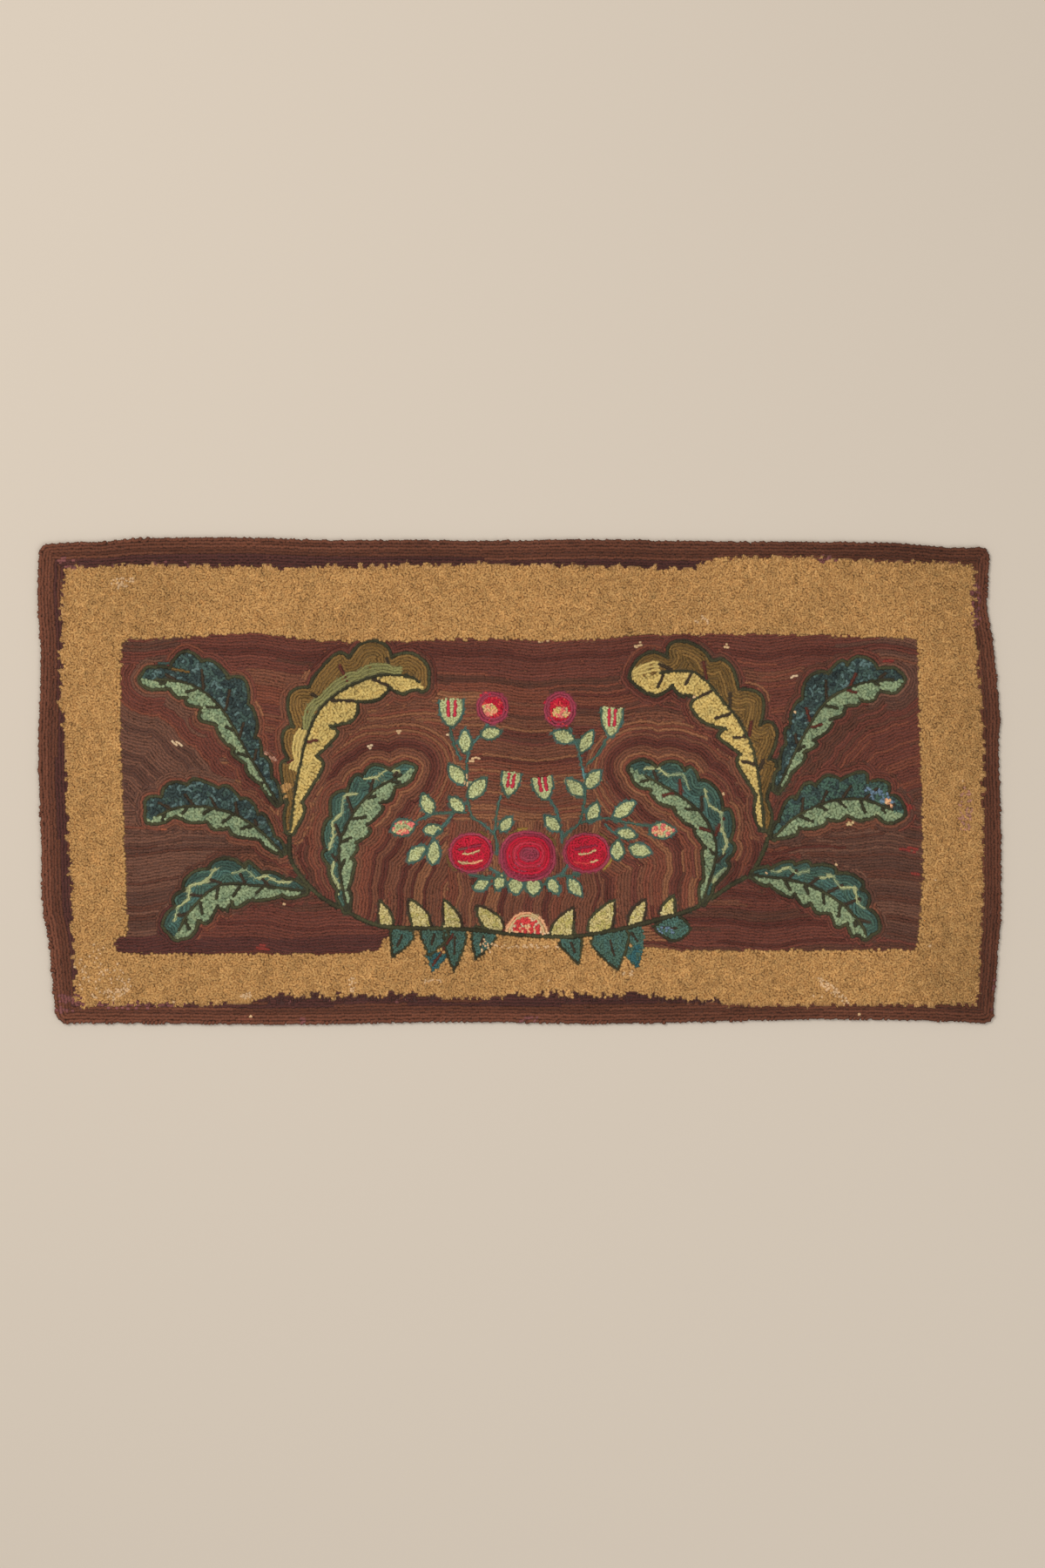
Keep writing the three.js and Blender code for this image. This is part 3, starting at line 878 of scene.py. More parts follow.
for flower in flowers:
    hookRose(flower)
for flower in (flowers[0], flowers[2]):
    hookRoseStreaks(*flower["at"])
for (x, y), radius, start, end in roseEdges:
    arc = [(x + radius[0] * math.cos(math.radians(a)), y + radius[1] * math.sin(math.radians(a)))
           for a in range(start, end, 6)]
    hookLine(arc, **sprayLines["roseEdge"])
for tulip in tulips:
    hookTulip(tulip)
for leaf in smallLeaves:
    hookSmallLeaf(leaf, sprayWool["cup"])
for leaf in blushLeaves:
    hookSmallLeaf(leaf, sprayWool["blush"])
for kind, lines in (("stem", stems), ("brightStem", brightStems)):
    for line in lines:
        hookLine(smoothPath(line), **sprayLines[kind])
for tooth in teeth:
    outer, inner = toothShape(tooth)
    softBed(np.concatenate((outer, inner)), sprayWool["tooth"])
    for edge in (outer, inner):
        hookLine(edge, **sprayLines["toothEdge"])
softBed(halfEllipse(0), sprayWool["rosette"])
for inset in (2.0, 6.2):
    hookLine(halfEllipse(inset), **sprayLines["arch"])
print("middle spray and garland", len(loops))

hookLine([(-603, -71), (-575, -72), (-540, -74)], ["rustLight", "rust"], gap=3.2, piece="pile_ground")

# Ground: rows echo the large leaves for as many rows as each leaf's echo says, and run across elsewhere. A
# wave is a height, a length and a start

groundWaves = {"field": ((5.0, 330.0, 0.9), (2.2, 120.0, 0.4)), "lap": ((3.0, 120.0, 0.4), (1.5, 47.0, 2.1))}
echoRows = {"underHighLeaf": 34, "betweenLeaves": 2.5, "lapReach": 400, "room": 5}

garland = smoothPath(garlandLine)
overGarland = inside(np.concatenate((garland, [(386, 230), (-352, 230)])))
inLap = (cellY < -62) & (cellX > -262) & (cellX < 282) & overGarland
midLap = (abs(cellX - 8) < 118) & inLap
followWave((bedOf == groundBed) & midLap, groundWaves["lap"], upright=True)
layBed((bedOf == groundBed) & midLap, name="lap", style="rows", piece="pile_ground")
middleRibs = [(-620, -70), *bigLeaves[1]["spine"][::-1], *bigLeaves[6]["spine"], (620, -60)]
topRows = cellY > 176
overMiddle = cellY > np.interp(cellX, *zip(*middleRibs))
betweenLeaves = (abs(abs(cellX) - 395) < 62) & (cellY > 25)
underHighLeaf = cellY < 145 - (abs(cellX) - 580) * -0.78
for k in sorted(range(len(bigLeaves)), key=lambda k: bigLeaves[k]["echo"]):
    leaf, line = bigLeaves[k], leafShapes[k]["outline"]
    reach = leaf["echo"] * hooking["pitch"]
    ground = bedOf == groundBed
    sameSide = np.sign(cellX) == np.sign(line[0, 0])
    if leaf["name"] in ("leftHigh", "rightHigh"):
        near = ground & (abs(cellX) > 330) & sameSide & overMiddle
        limit = np.where(underHighLeaf, echoRows["underHighLeaf"] * hooking["pitch"], reach)
    else:
        low, high = line.min(0) - reach - echoRows["room"], line.max(0) + reach + echoRows["room"]
        near = ground & (cellX > low[0]) & (cellX < high[0]) & (cellY > low[1]) & (cellY < high[1])
        limit = np.full(cellX.shape, reach)
        if leaf["name"] in ("leftInner", "rightInner"):
            near = (near | (ground & inLap & sameSide)) & overGarland
            limit[inLap] = echoRows["lapReach"]
    short = np.minimum(limit, echoRows["betweenLeaves"] * hooking["pitch"])
    limit = np.where(topRows | betweenLeaves, short, limit)
    followEdge(near, np.array(evenSteps(line, 2.0, closed=True))[:, :2])
    layBed(near & (guide < limit), name=leaf["name"], style="rows", piece="pile_ground", echo=True)
followWave(bedOf == groundBed, groundWaves["field"])
followEdge(bedOf == 1, np.array(evenSteps(edgeLine, 3.0, closed=True))[:, :2])
guide[bedOf == 1] -= hooking["pitch"] * 0.5
groundBeds = [k for k, facts in enumerate(beds) if facts and facts["piece"] == "pile_ground"]
wobble = 0.9 * slowNoise(cellX, cellY, 80, 11) + 0.5 * slowNoise(cellX, cellY, 30, 12)
guide += wobble * np.isin(bedOf, groundBeds)  # no hand keeps its rows quite even
print("ground rows planned")

# Where the ground's wool changes, first match first: the middle and half size of a patch, and its dyes
groundTones = [
    ((-412, -252), (212, 14), ["plum", "maroonDeep", "plum"]),
    ((-590, 210), (60, 26), ["taupeDeep", "umber", "maroon"]),
    ((-560, 20), (62, 112), ["taupe", "taupe", "taupeDeep"]),
    ((-500, 20), (45, 52), ["taupe", "taupe", "taupeDeep"]),
    ((-520, -140), (92, 66), ["taupe", "taupeDeep", "taupe", "umber"]),
    ((-440, -122), (70, 30), ["taupe", "umber", "brown"]),
    ((-565, -190), (50, 50), ["taupe", "taupeDeep", "umber"]),
    ((-390, 88), (54, 62), ["brown", "tan", "brick", "brown", "maroon"]),
    ((-372, 10), (40, 50), ["brick", "brown", "rust", "maroon"]),
    ((-350, -185), (90, 40), ["maroon", "maroonDeep", "maroon", "umber"]),
    ((370, -160), (60, 50), ["maroon", "maroonDeep", "umber", "maroon"]),
    ((-400, -232), (220, 34), ["maroon", "maroon", "maroonDeep", "brick"]),
    ((590, 176), (48, 56), ["taupe", "taupe", "brown", "taupeDeep"]),
    ((604, -60), (28, 50), ["taupeDeep", "umber", "maroon"]),
    ((520, -128), (110, 56), ["taupe", "taupeDeep", "umber"]),
    ((590, -190), (45, 50), ["taupeDeep", "umber", "taupe"]),
    ((420, -235), (220, 40), ["maroon", "maroon", "maroonDeep", "umber"]),
    ((500, 60), (140, 120), ["maroon", "brick", "maroon", "umber", "maroon"]),
    ((-180, 70), (150, 70), ["brown", "brick", "tan", "brown"]),
    ((0, 200), (620, 32), ["maroon", "maroonDeep", "umber", "maroon", "brick", "maroon", "maroonDeep"]),
    ((60, 110), (260, 60), ["maroon", "maroonDeep", "brick", "brown", "umber"]),
    ((20, -40), (110, 60), ["brown", "tan", "brick", "brown"]),
]
innerEcho = ["brick", "tan", "brown", "brown", "maroonDeep", "maroonDeep", "maroon", "brown", "brick", "tan"]
centreTones = ["brown", "tan", "maroon", "brown", "brick", "maroonDeep", "brown"]


def groundWool(x, y, bed, level):
    name = beds[bed]["name"]
    if name == "leftMiddle" and level <= 1:
        return ["rust"]
    if name == "leftHigh" and level <= 8 and x < -330 and y < 145 - (x + 580) * 0.78:
        return ["maroon", "maroon", "brick"] if level > 1 else ["maroonDeep"]
    if name in ("leftInner", "rightInner") and y > -70:
        tone = innerEcho[(level - 1) % len(innerEcho)]
        return [tone] * 5 + ["maroon" if x > 0 else "brown"]
    for (px, py), (halfX, halfY), names in groundTones:
        if abs(x - px) < halfX and abs(y - py) < halfY:
            return names
    return centreTones


def rimWool(x, level):
    # the rim's inner rows are of darker wool, one row more of them at the left
    deep = level >= 6 or (level >= 5 and x < 0)
    return ["rimPlum", "rimPlum", "rimPlum", "rimDeep"] if deep else ["rimBrown", "rimBrown", "rimDeep"]


def bedWool(x, y, bed, level):
    facts = beds[bed]
    if facts.get("dyes"):
        return facts["dyes"]
    return rimWool(x, level) if facts["name"] == "rim" else groundWool(x, y, bed, level)


# Hook every bed: rows first, then what the rows left open

# A row ends where it would be more than mostOff from its line or bend more than sharpest, as a cosine. strip
# is how many loops one strip of wool gives, and steady the share of strips in the row's favourite dye. lowest
# is how high the rim's outermost row stands, as a share of its pile, and unlike how much shades differ
rowHabits = {"longest": 1200, "mostOff": 2.4, "correction": 0.7, "sharpest": 0.3, "strip": (12, 60),
             "steady": 0.72, "lowest": 0.8, "rimLoop": (1.05, 1.16), "unlike": 0.055}
curlHabits = {"share": 0.6, "bend": (0.25, 0.9), "count": (2, 5), "pile": (0.92, 1.04), "size": (0.98, 1.16),
              "unlike": 0.065}
singleLoop = {"size": (0.85, 0.85), "pile": 0.95, "unlike": 0.06}


def pileOf(facts):
    return hooking[facts.get("pile", "fieldPile")]


def cellAt(x, y):
    return int((x - gridX[0]) / cell + 0.5), int((y - gridY[0]) / cell + 0.5)


def onGrid(i, j):
    return 0 <= i < len(gridX) and 0 <= j < len(gridY)


def traceRow(x, y, level, bed, sense, lists):
    # follow one row from a place, while it stays in its bed and clear of what is hooked already
    bedList, guides, aimXs, aimYs = lists
    step, gap = hooking["step"], hooking["step"] * hooking["crowding"]
    lastX, lastY = None, None
    row = []
    for _ in range(rowHabits["longest"]):
        i, j = cellAt(x, y)
        if not onGrid(i, j) or bedList[j][i] != bed:
            break
        ax, ay = aimXs[j][i], aimYs[j][i]
        off = level * hooking["pitch"] - guides[j][i]
        if abs(off) > rowHabits["mostOff"]:
            break
        x, y = x + ax * off * rowHabits["correction"], y + ay * off * rowHabits["correction"]
        dx, dy = -ay * sense, ax * sense
        if lastX is not None and dx * lastX + dy * lastY < rowHabits["sharpest"]:
            break
        if not isFree(x, y, gap):
            break
        holdPlace(x, y)
        row.append((x, y, math.atan2(dy, dx)))
        lastX, lastY = dx, dy
        x, y = x + dx * step, y + dy * step
    return row


def dyeRow(row, bed, level):
    # cut the row into strips of wool, each of one dye
    facts = beds[bed]
    isRim = facts["name"] == "rim"
    band = (level + bed) // (3 if facts["name"] in ("ground", "lap") else 2)
    favourite = random.Random(bed * 977 + band * 31).random()
    size = rowHabits["rimLoop"] if isRim else (1.0, 1.0)
    rise = min(1.0, (level + 1.6) / 3) if isRim else 1.0
    pile = pileOf(facts) * (rowHabits["lowest"] + (1 - rowHabits["lowest"]) * rise)
    k = 0
    while k < len(row):
        strip = chance.randint(*rowHabits["strip"])
        x, y, _ = row[min(k + strip // 2, len(row) - 1)]
        names = bedWool(x, y, bed, level)
        steady = chance.random() < rowHabits["steady"]
        name = names[int(favourite * len(names))] if steady else chance.choice(names)
        shade = chance.gauss(1, rowHabits["unlike"])
        for x, y, turn in row[k : k + strip]:
            pullLoop(x, y, turn, name, facts["piece"], size, pile, shade)
        k += strip


def hookRows(bed, lists):
    level = np.round(guide / hooking["pitch"]).astype(int)
    near = (bedOf == bed) & (abs(guide - level * hooking["pitch"]) < cell)
    if beds[bed]["name"] not in ("ground", "rim"):
        near &= level > 0
    rows, columns = np.nonzero(near[::2, ::2])
    rows, columns = rows * 2, columns * 2
    order = np.lexsort((columns, abs(level[rows, columns])))
    for j, i in zip(rows[order].tolist(), columns[order].tolist()):
        x, y, depth = float(gridX[i]), float(gridY[j]), int(level[j, i])
        if not isFree(x, y, hooking["step"] * hooking["crowding"]):
            continue
        row = traceRow(x, y, depth, bed, 1, lists)
        if not row:
            continue
        x, y, turn = row[0]
        back = (x - math.cos(turn) * hooking["step"], y - math.sin(turn) * hooking["step"])
        tail = traceRow(*back, depth, bed, -1, lists)
        dyeRow([(bx, by, bt + math.pi) for bx, by, bt in reversed(tail)] + row, bed, depth)


def hookCurls(bed):
    # short curling runs of loops in any direction
    facts = beds[bed]
    fine = facts.get("fine", 1.0)
    step, gap = hooking["curlStep"] * fine, hooking["curlGap"] * fine
    size = tuple(share * fine for share in curlHabits["size"])
    rows, columns = np.nonzero(bedOf == bed)
    places = list(zip(rows.tolist(), columns.tolist()))
    chance.shuffle(places)
    for j, i in places[: int(len(places) * curlHabits["share"])]:
        x, y = float(gridX[i]), float(gridY[j])
        if not isFree(x, y, gap):
            continue
        turn = chance.uniform(0, 2 * math.pi)
        bend = chance.choice((-1, 1)) * chance.uniform(*curlHabits["bend"])
        name, shade = chance.choice(facts["dyes"]), chance.gauss(1, curlHabits["unlike"])
        for _ in range(chance.randint(*curlHabits["count"])):
            a, b = cellAt(x, y)
            if not onGrid(a, b) or bedOf[b, a] != bed or not isFree(x, y, gap):
                break
            holdPlace(x, y)
            pile = pileOf(facts) * chance.uniform(*curlHabits["pile"])
            pullLoop(x, y, turn, name, facts["piece"], size, pile, shade)
            turn += bend
            x, y = x + math.cos(turn) * step, y + math.sin(turn) * step


def fillGaps(spacing):
    # single loops wherever the cloth would still show
    for j in range(0, len(gridY), 2):
        for i in range(0, len(gridX), 2):
            bed = int(bedOf[j, i])
            if not bed:
                continue
            facts = beds[bed]
            inRows = facts["style"] == "rows"
            x, y = float(gridX[i]), float(gridY[j])
            if not isFree(x, y, spacing * (1.0 if inRows else facts.get("fine", 1.0))):
                continue
            holdPlace(x, y)
            turn = math.atan2(aimX[j, i], -aimY[j, i]) if inRows else chance.uniform(0, 3.1)
            name = chance.choice(bedWool(x, y, bed, int(round(guide[j, i] / hooking["pitch"]))))
            pile, shade = pileOf(facts) * singleLoop["pile"], chance.gauss(1, singleLoop["unlike"])
            pullLoop(x, y, turn, name, facts["piece"], singleLoop["size"], pile, shade)


# Rows that echo a leaf come first, then the lap's, then those of the ground and the rim
fieldLists = (bedOf.tolist(), guide.tolist(), aimX.tolist(), aimY.tolist())
orderOfBeds = sorted(range(1, len(beds)), key=lambda bed: (
    not beds[bed].get("echo"), beds[bed]["name"] in ("ground", "rim")))
for bed in orderOfBeds:
    if beds[bed]["style"] == "rows":
        hookRows(bed, fieldLists)
for bed in orderOfBeds:
    if beds[bed]["style"] == "curls":
        hookCurls(bed)
print("rows and curls", len(loops))
fillGaps(hooking["fillGap"])
print("loops in all", len(loops))


# Wear: places where loops are rubbed pale or were hooked again. A row gives the dye, the middle, the half
# sizes, the turn, the share of the loops there that change, and a piece where it is on that one alone

wear = [
    ("spark", (-524, 57), (11, 3), -38, 0.95), ("wornPink", (-382, 37), (15, 8), -20, 0.3, "pile_ground"),
    ("ochre", (-356, -14), (7, 11), 0, 0.7), ("spark", (420, 161), (7, 4), 0, 1.0),
    ("worn", (183, 207), (7, 4), 20, 0.9), ("worn", (37, 212), (8, 3), 0, 0.9),
    ("worn", (317, 206), (3, 5), 0, 0.9), ("worn", (-69, 34), (11, 3), 25, 0.9),
    ("spark", (-109, 73), (3, 3), 0, 1.0), ("spark", (-228, 53), (4, 4), 0, 1.0),
    ("worn", (-185, 76), (4, 4), 0, 1.0), ("worn", (-80, 0), (4, 9), -10, 0.8),
    ("worn", (-609, 303), (20, 8), 10, 0.5), ("worn", (-640, -300), (34, 52), 30, 0.13),
    ("worn", (-612, -316), (22, 13), 40, 0.5), ("worn", (-419, -328), (10, 4), 10, 0.8),
    ("worn", (-256, -313), (6, 12), 0, 0.55), ("worn", (-129, -306), (18, 4), 0, 0.6),
    ("worn", (-50, -256), (8, 14), 20, 0.5), ("worn", (4, -253), (58, 3), -2, 0.6),
    ("worn", (280, 246), (15, 6), -12, 0.45), ("worn", (476, -318), (26, 7), -42, 0.55),
    ("worn", (497, -336), (8, 4), -30, 0.6), ("wornPink", (681, -43), (11, 34), 0, 0.35),
    ("worn", (165, -295), (9, 4), 15, 0.7), ("sky", (224, -229), (14, 5), -10, 0.5, "pile_flowers"),
    ("sky", (550, -22), (23, 8), -20, 0.45, "pile_leaves"),
    ("peach", (566, -32), (5, 6), 20, 0.7, "pile_leaves"), ("cream", (504, -65), (7, 3), 0, 0.9),
    ("mauve", (-688, 334), (18, 9), 0, 0.4), ("mauve", (-560, 331), (120, 6), 0, 0.05),
    ("mauve", (-690, -340), (22, 16), 0, 0.4), ("mauve", (-590, -343), (90, 5), 0, 0.35),
    ("mauve", (-250, -338), (140, 5), 0, 0.05), ("mauve", (698, 268), (9, 36), 0, 0.45),
    ("mauve", (470, 340), (16, 6), 0, 0.5), ("mauve", (20, -366), (18, 5), 0, 0.5),
    ("mauve", (728, -330), (7, 30), 0, 0.3), ("rust", (-419, -364), (11, 4), 0, 0.9),
    ("mauve", (-332, -366), (7, 3), 0, 0.8), ("rustRed", (-392, -255), (9, 5), 0, 0.9),
    ("rustRed", (564, 182), (12, 3), 0, 0.9), ("rustRed", (597, -105), (14, 4), 0, 0.9),
    ("rustRed", (607, -142), (8, 4), 0, 0.9), ("rustRed", (596, -40), (7, 6), 0, 0.9),
]

# Rubbed loops are thinner, and a few single ones lie anywhere, as a share of all loops
wornLoops = {"size": 0.92, "specks": 0.0002}

place = np.array([loop[:2] for loop in loops])
turns = np.array([loop[2] for loop in loops])
sizes = np.array([loop[3:6] for loop in loops])
dyeNames = list(dyes)
dyeOf = np.array([dyeNames.index(loop[6]) for loop in loops])
shades = np.array([loop[7] for loop in loops])
pieceOf = np.array([loop[8] for loop in loops])
dice = np.random.default_rng(hooking["seed"])
unworn = dyeOf.copy()
for dye, middle, size, turn, share, *only in wear:
    away = turned(place - middle, -turn, (0, 0)) / size
    hit = (np.hypot(*away.T) < 1.05) & (dice.random(len(place)) < share)
    hit &= np.char.startswith(pieceOf, only[0] if only else "pile")
    dyeOf[hit] = dyeNames.index(dye)
    if dye in ("worn", "spark"):
        sizes[hit, :2] *= wornLoops["size"]
    else:
        unworn[hit] = dyeOf[hit]
specks = dice.random(len(place)) < wornLoops["specks"]
dyeOf[specks] = dyeNames.index("worn")


# The pile's own shade takes light away, which dyeGain gives back, and paleMost is the palest that wool gets.
# perLoop is by how much single loops differ in light, warmth and height. A cloud is a slow change of light
# and dark: its size in millimetres, seed, strength and piece. A fade runs along x or y, 0 or 1, and darkens a
# piece: its start, its length, its least share, and its strength
dyeGain = (1.44, 1.38, 1.29)
paleMost = 0.92
perLoop = {"light": 0.035, "warmth": 0.015, "height": 0.025}
clouds = [(210, 4, 0.055, "pile"), (60, 9, 0.03, "pile"), (14, 5, 0.03, "pile"), (26, 3, 0.04, "pile_frame")]
fades = [(0, 590, 60, 0, 0.13, "pile_frame"), (0, 0, 700, -0.5, 0.16, "pile_rim"),
         (1, 300, 50, 0, 0.1, "pile_rim")]


def linear(colour):
    share = np.asarray(colour, float) / 255
    return np.where(share <= 0.04045, share / 12.92, ((share + 0.055) / 1.055) ** 2.4)


tint = linear([dyes[name] for name in dyeNames])[dyeOf]
# slow changes of tone over the pile, and fades that darken the frame's right end and the rim towards the
# right and the top
slowTone = np.ones(len(place))
for scale, seed, strength, only in clouds:
    slowTone = slowTone + strength * slowNoise(*place.T, scale, seed) * np.char.startswith(pieceOf, only)
for axis, start, length, least, strength, only in fades:
    slowTone = slowTone - strength * np.clip((place[:, axis] - start) / length, least, 1) * (pieceOf == only)
grain = dice.normal(1, perLoop["light"], len(place))
warmth = dice.normal(0, perLoop["warmth"], len(place))
tint = tint * dyeGain * (shades * slowTone * grain)[:, None]
tint = tint * np.stack((1 + warmth, np.ones(len(place)), 1 - warmth), 1)
tint = np.minimum(tint, paleMost)
lift = 1 + 0.035 * slowNoise(*place.T, 130, 6) + dice.normal(0, perLoop["height"], len(place))
sizes[:, 2] = sizes[:, 2] * lift


# Shader maths: socket wrappers and a short way to add nodes

class Sock:
    def __init__(self, tree, socket):
        self.tree, self.socket = tree, socket

    def maths(self, operation, other):
        node = self.tree.nodes.new("ShaderNodeMath")
        node.operation = operation
        for index, value in enumerate((self, other)):
            if isinstance(value, Sock):
                self.tree.links.new(value.socket, node.inputs[index])
            else:
                node.inputs[index].default_value = value
        return Sock(self.tree, node.outputs[0])

    def __add__(self, other):
        return self.maths("ADD", other)

    __radd__ = __add__

    def __mul__(self, other):
        return self.maths("MULTIPLY", other)

    __rmul__ = __mul__


class Finish:
    # one procedural material, built node by node
    def __init__(self, name):
        self.material = bpy.data.materials.new(name)
        self.material.use_nodes = True
        self.tree = self.material.node_tree
        self.shader = self.tree.nodes["Principled BSDF"]

    def add(self, kind, settings=None, output=0, **sockets):
        node = self.tree.nodes.new(kind)
        for key, value in (settings or {}).items():
            setattr(node, key, value)
        for name, value in sockets.items():
            self.feed(node.inputs[name.replace("_", " ")], value)
        return Sock(self.tree, node.outputs[output])

    def read(self, attribute, output=0):
        settings = {"attribute_name": attribute, "attribute_type": "GEOMETRY"}
        return self.add("ShaderNodeAttribute", settings, output)

    def feed(self, socket, value):
        if isinstance(value, Sock):
            self.tree.links.new(value.socket, socket)
        else:
            socket.default_value = value

    def mixed(self, blend, factor, a, b):
        node = self.tree.nodes.new("ShaderNodeMix")
        node.data_type = "RGBA"
        node.blend_type = blend
        self.feed(node.inputs[0], factor)
        self.feed(node.inputs[6], a)
        self.feed(node.inputs[7], b)
        return Sock(self.tree, node.outputs[2])

    def set(self, **values):
        for name, value in values.items():
            self.feed(self.shader.inputs[name.replace("_", " ")], value)


woolLook = {
    "roughness": 0.87,
    "roughnessChange": 0.12,
    "gloss": 0.12,
    "sheen": 0.05,
    "sheenRoughness": 0.5,
    "sheenColour": (1.0, 0.86, 0.72, 1),
    "heather": 700.0,
    "fibre": 2200.0,
    "relief": 0.6,
    "reliefHeight": 0.0008,
    "mottle": 0.44,
    # the share of the dye left at a loop's sides, as painted shade between the loops
    "paintedCleftLight": 0.86,
}


def woolFinish(name):
    # heathered wool: the dye of each loop, darkened by painted shade towards its sides in the depth of the
    # pile, with fine fibres
    finish = Finish(name)
    where = finish.add("ShaderNodeTexCoord", output=3)
    paintedCreaseLight = finish.read("paintedCreaseLight", output=2)
    heather, fibre = (finish.add("ShaderNodeTexNoise", Vector=where, Scale=scale, Detail=2.0, Roughness=rough)
                      for scale, rough in ((woolLook["heather"], 0.7), (woolLook["fibre"], 0.6)))
    # painted shade: each loop is drawn darker towards its sides, where the rows meet
    depth = paintedCreaseLight * (1 - woolLook["paintedCleftLight"]) + woolLook["paintedCleftLight"]
    light = (heather * woolLook["mottle"] + (1 - woolLook["mottle"] / 2)) * depth
    brush = finish.add("ShaderNodeCombineColor", Red=light, Green=light, Blue=light)
    colour = finish.mixed("MULTIPLY", 1.0, finish.read("dye"), brush)
    relief = finish.add("ShaderNodeBump", Strength=woolLook["relief"], Distance=woolLook["reliefHeight"],
                        Height=fibre + heather)
    rough = heather * woolLook["roughnessChange"] + woolLook["roughness"]
    finish.set(Base_Color=colour, Normal=relief, Roughness=rough)
    finish.set(Specular_IOR_Level=woolLook["gloss"], Sheen_Weight=woolLook["sheen"])
    finish.set(Sheen_Roughness=woolLook["sheenRoughness"], Sheen_Tint=woolLook["sheenColour"])
    return finish.material


woolMaterial = woolFinish("hooked_wool")
print("materials")


# One loop of wool strip, a small closed pillow: x along the row, 1 wide, 1 long and 1 high

def makeLoopShape():
    # six corners round the foot and two along the ridge
    ring = [(0.5, 0.0), (0.3, 0.5), (-0.3, 0.5), (-0.5, 0.0), (-0.3, -0.5), (0.3, -0.5)]
    corners = [(x, y, 0.76) for x, y in ring] + [(0.24, 0, 1), (-0.24, 0, 1)]
    faces = [(0, 1, 6), (1, 2, 7), (1, 7, 6), (2, 3, 7), (3, 4, 7), (4, 5, 6), (4, 6, 7), (5, 0, 6)]
    faces.append((5, 4, 3, 2, 1, 0))
    mesh = bpy.data.meshes.new("wool_loop")
    mesh.from_pydata(corners, [], faces)
    mesh.polygons.foreach_set("use_smooth", [True] * len(faces))
    # painted shade: how light each corner is drawn. The sides lie in the crease between rows and are drawn
    # darkest, the ends against the next loop a little darker
    paintedCreaseLight = [0.85, 0.0, 0.0, 0.85, 0.0, 0.0, 1.0, 1.0]
    mesh.attributes.new("paintedCreaseLight", "FLOAT", "POINT").data.foreach_set("value", paintedCreaseLight)
    return bpy.data.objects.new("wool_loop", mesh)


def makePileTree():
    # sets a wool loop at every place of the plan, turned and sized by its attributes
    tree = bpy.data.node_groups.new("hooked_pile", "GeometryNodeTree")
    face = tree.interface
    face.new_socket("Geometry", in_out="INPUT", socket_type="NodeSocketGeometry")
    face.new_socket("Loop", in_out="INPUT", socket_type="NodeSocketObject")
    for label in ("Loop length", "Loop width", "Lean"):
        face.new_socket(label, in_out="INPUT", socket_type="NodeSocketFloat")
    face.new_socket("Wool", in_out="INPUT", socket_type="NodeSocketMaterial")
    face.new_socket("Geometry", in_out="OUTPUT", socket_type="NodeSocketGeometry")
    nodes, links = tree.nodes, tree.links

    def node(kind, settings=None, **sockets):
        made = nodes.new(kind)
        for key, value in (settings or {}).items():
            setattr(made, key, value)
        for name, value in sockets.items():
            socket = made.inputs[name.replace("_", " ")]
            if isinstance(value, bpy.types.NodeSocket):
                links.new(value, socket)
            else:
                socket.default_value = value
        return made

    given = nodes.new("NodeGroupInput").outputs
    size = node("GeometryNodeInputNamedAttribute", {"data_type": "FLOAT_VECTOR"}, Name="size").outputs[0]
    turn = node("GeometryNodeInputNamedAttribute", {"data_type": "FLOAT"}, Name="turn").outputs[0]
    gauge = node("ShaderNodeCombineXYZ", X=given["Loop length"], Y=given["Loop width"], Z=1.0).outputs[0]
    scale = node("ShaderNodeVectorMath", {"operation": "MULTIPLY"})
    links.new(size, scale.inputs[0])
    links.new(gauge, scale.inputs[1])
    lean = node("FunctionNodeRandomValue", {"data_type": "FLOAT_VECTOR"}, Seed=hooking["seed"])
    spread = node("ShaderNodeVectorMath", {"operation": "SCALE"})
    lean.inputs[0].default_value = (-1, -1, 0)
    lean.inputs[1].default_value = (1, 1, 0)
    links.new(lean.outputs[0], spread.inputs[0])
    links.new(given["Lean"], spread.inputs["Scale"])
    heading = node("ShaderNodeCombineXYZ", Z=turn).outputs[0]
    rotation = node("ShaderNodeVectorMath", {"operation": "ADD"})
    links.new(spread.outputs[0], rotation.inputs[0])
    links.new(heading, rotation.inputs[1])
    shape = node("GeometryNodeObjectInfo", Object=given["Loop"]).outputs["Geometry"]
    spots = node("GeometryNodeInstanceOnPoints", Points=given["Geometry"], Instance=shape)
    links.new(rotation.outputs[0], spots.inputs["Rotation"])
    links.new(scale.outputs[0], spots.inputs["Scale"])
    real = node("GeometryNodeRealizeInstances", Geometry=spots.outputs[0])
    dressed = node("GeometryNodeSetMaterial", Geometry=real.outputs[0], Material=given["Wool"])
    out = nodes.new("NodeGroupOutput")
    links.new(dressed.outputs[0], out.inputs[0])
    return tree


def seenFromAbove(mesh):
    spots = np.zeros(len(mesh.vertices) * 3)
    mesh.vertices.foreach_get("co", spots)
    return spots.reshape(-1, 3)[:, :2]


def planarMap(mesh):
    # a map seen from above that fills its square. What faces down lies one square aside
    corners = np.zeros(len(mesh.loops), int)
    mesh.loops.foreach_get("vertex_index", corners)
    spots = seenFromAbove(mesh)
    flat = (spots - spots.min(0)) / (spots.max(0) - spots.min(0))
    normals = np.zeros(len(mesh.polygons) * 3)
    mesh.polygons.foreach_get("normal", normals)
    counts = np.zeros(len(mesh.polygons), int)
    mesh.polygons.foreach_get("loop_total", counts)
    under = np.repeat(normals.reshape(-1, 3)[:, 2] < 0, counts)
    places = (0.004 + 0.992 * flat)[corners]
    places[:, 0] -= under
    mesh.uv_layers.new(name="OFBake").data.foreach_set("uv", places.ravel())


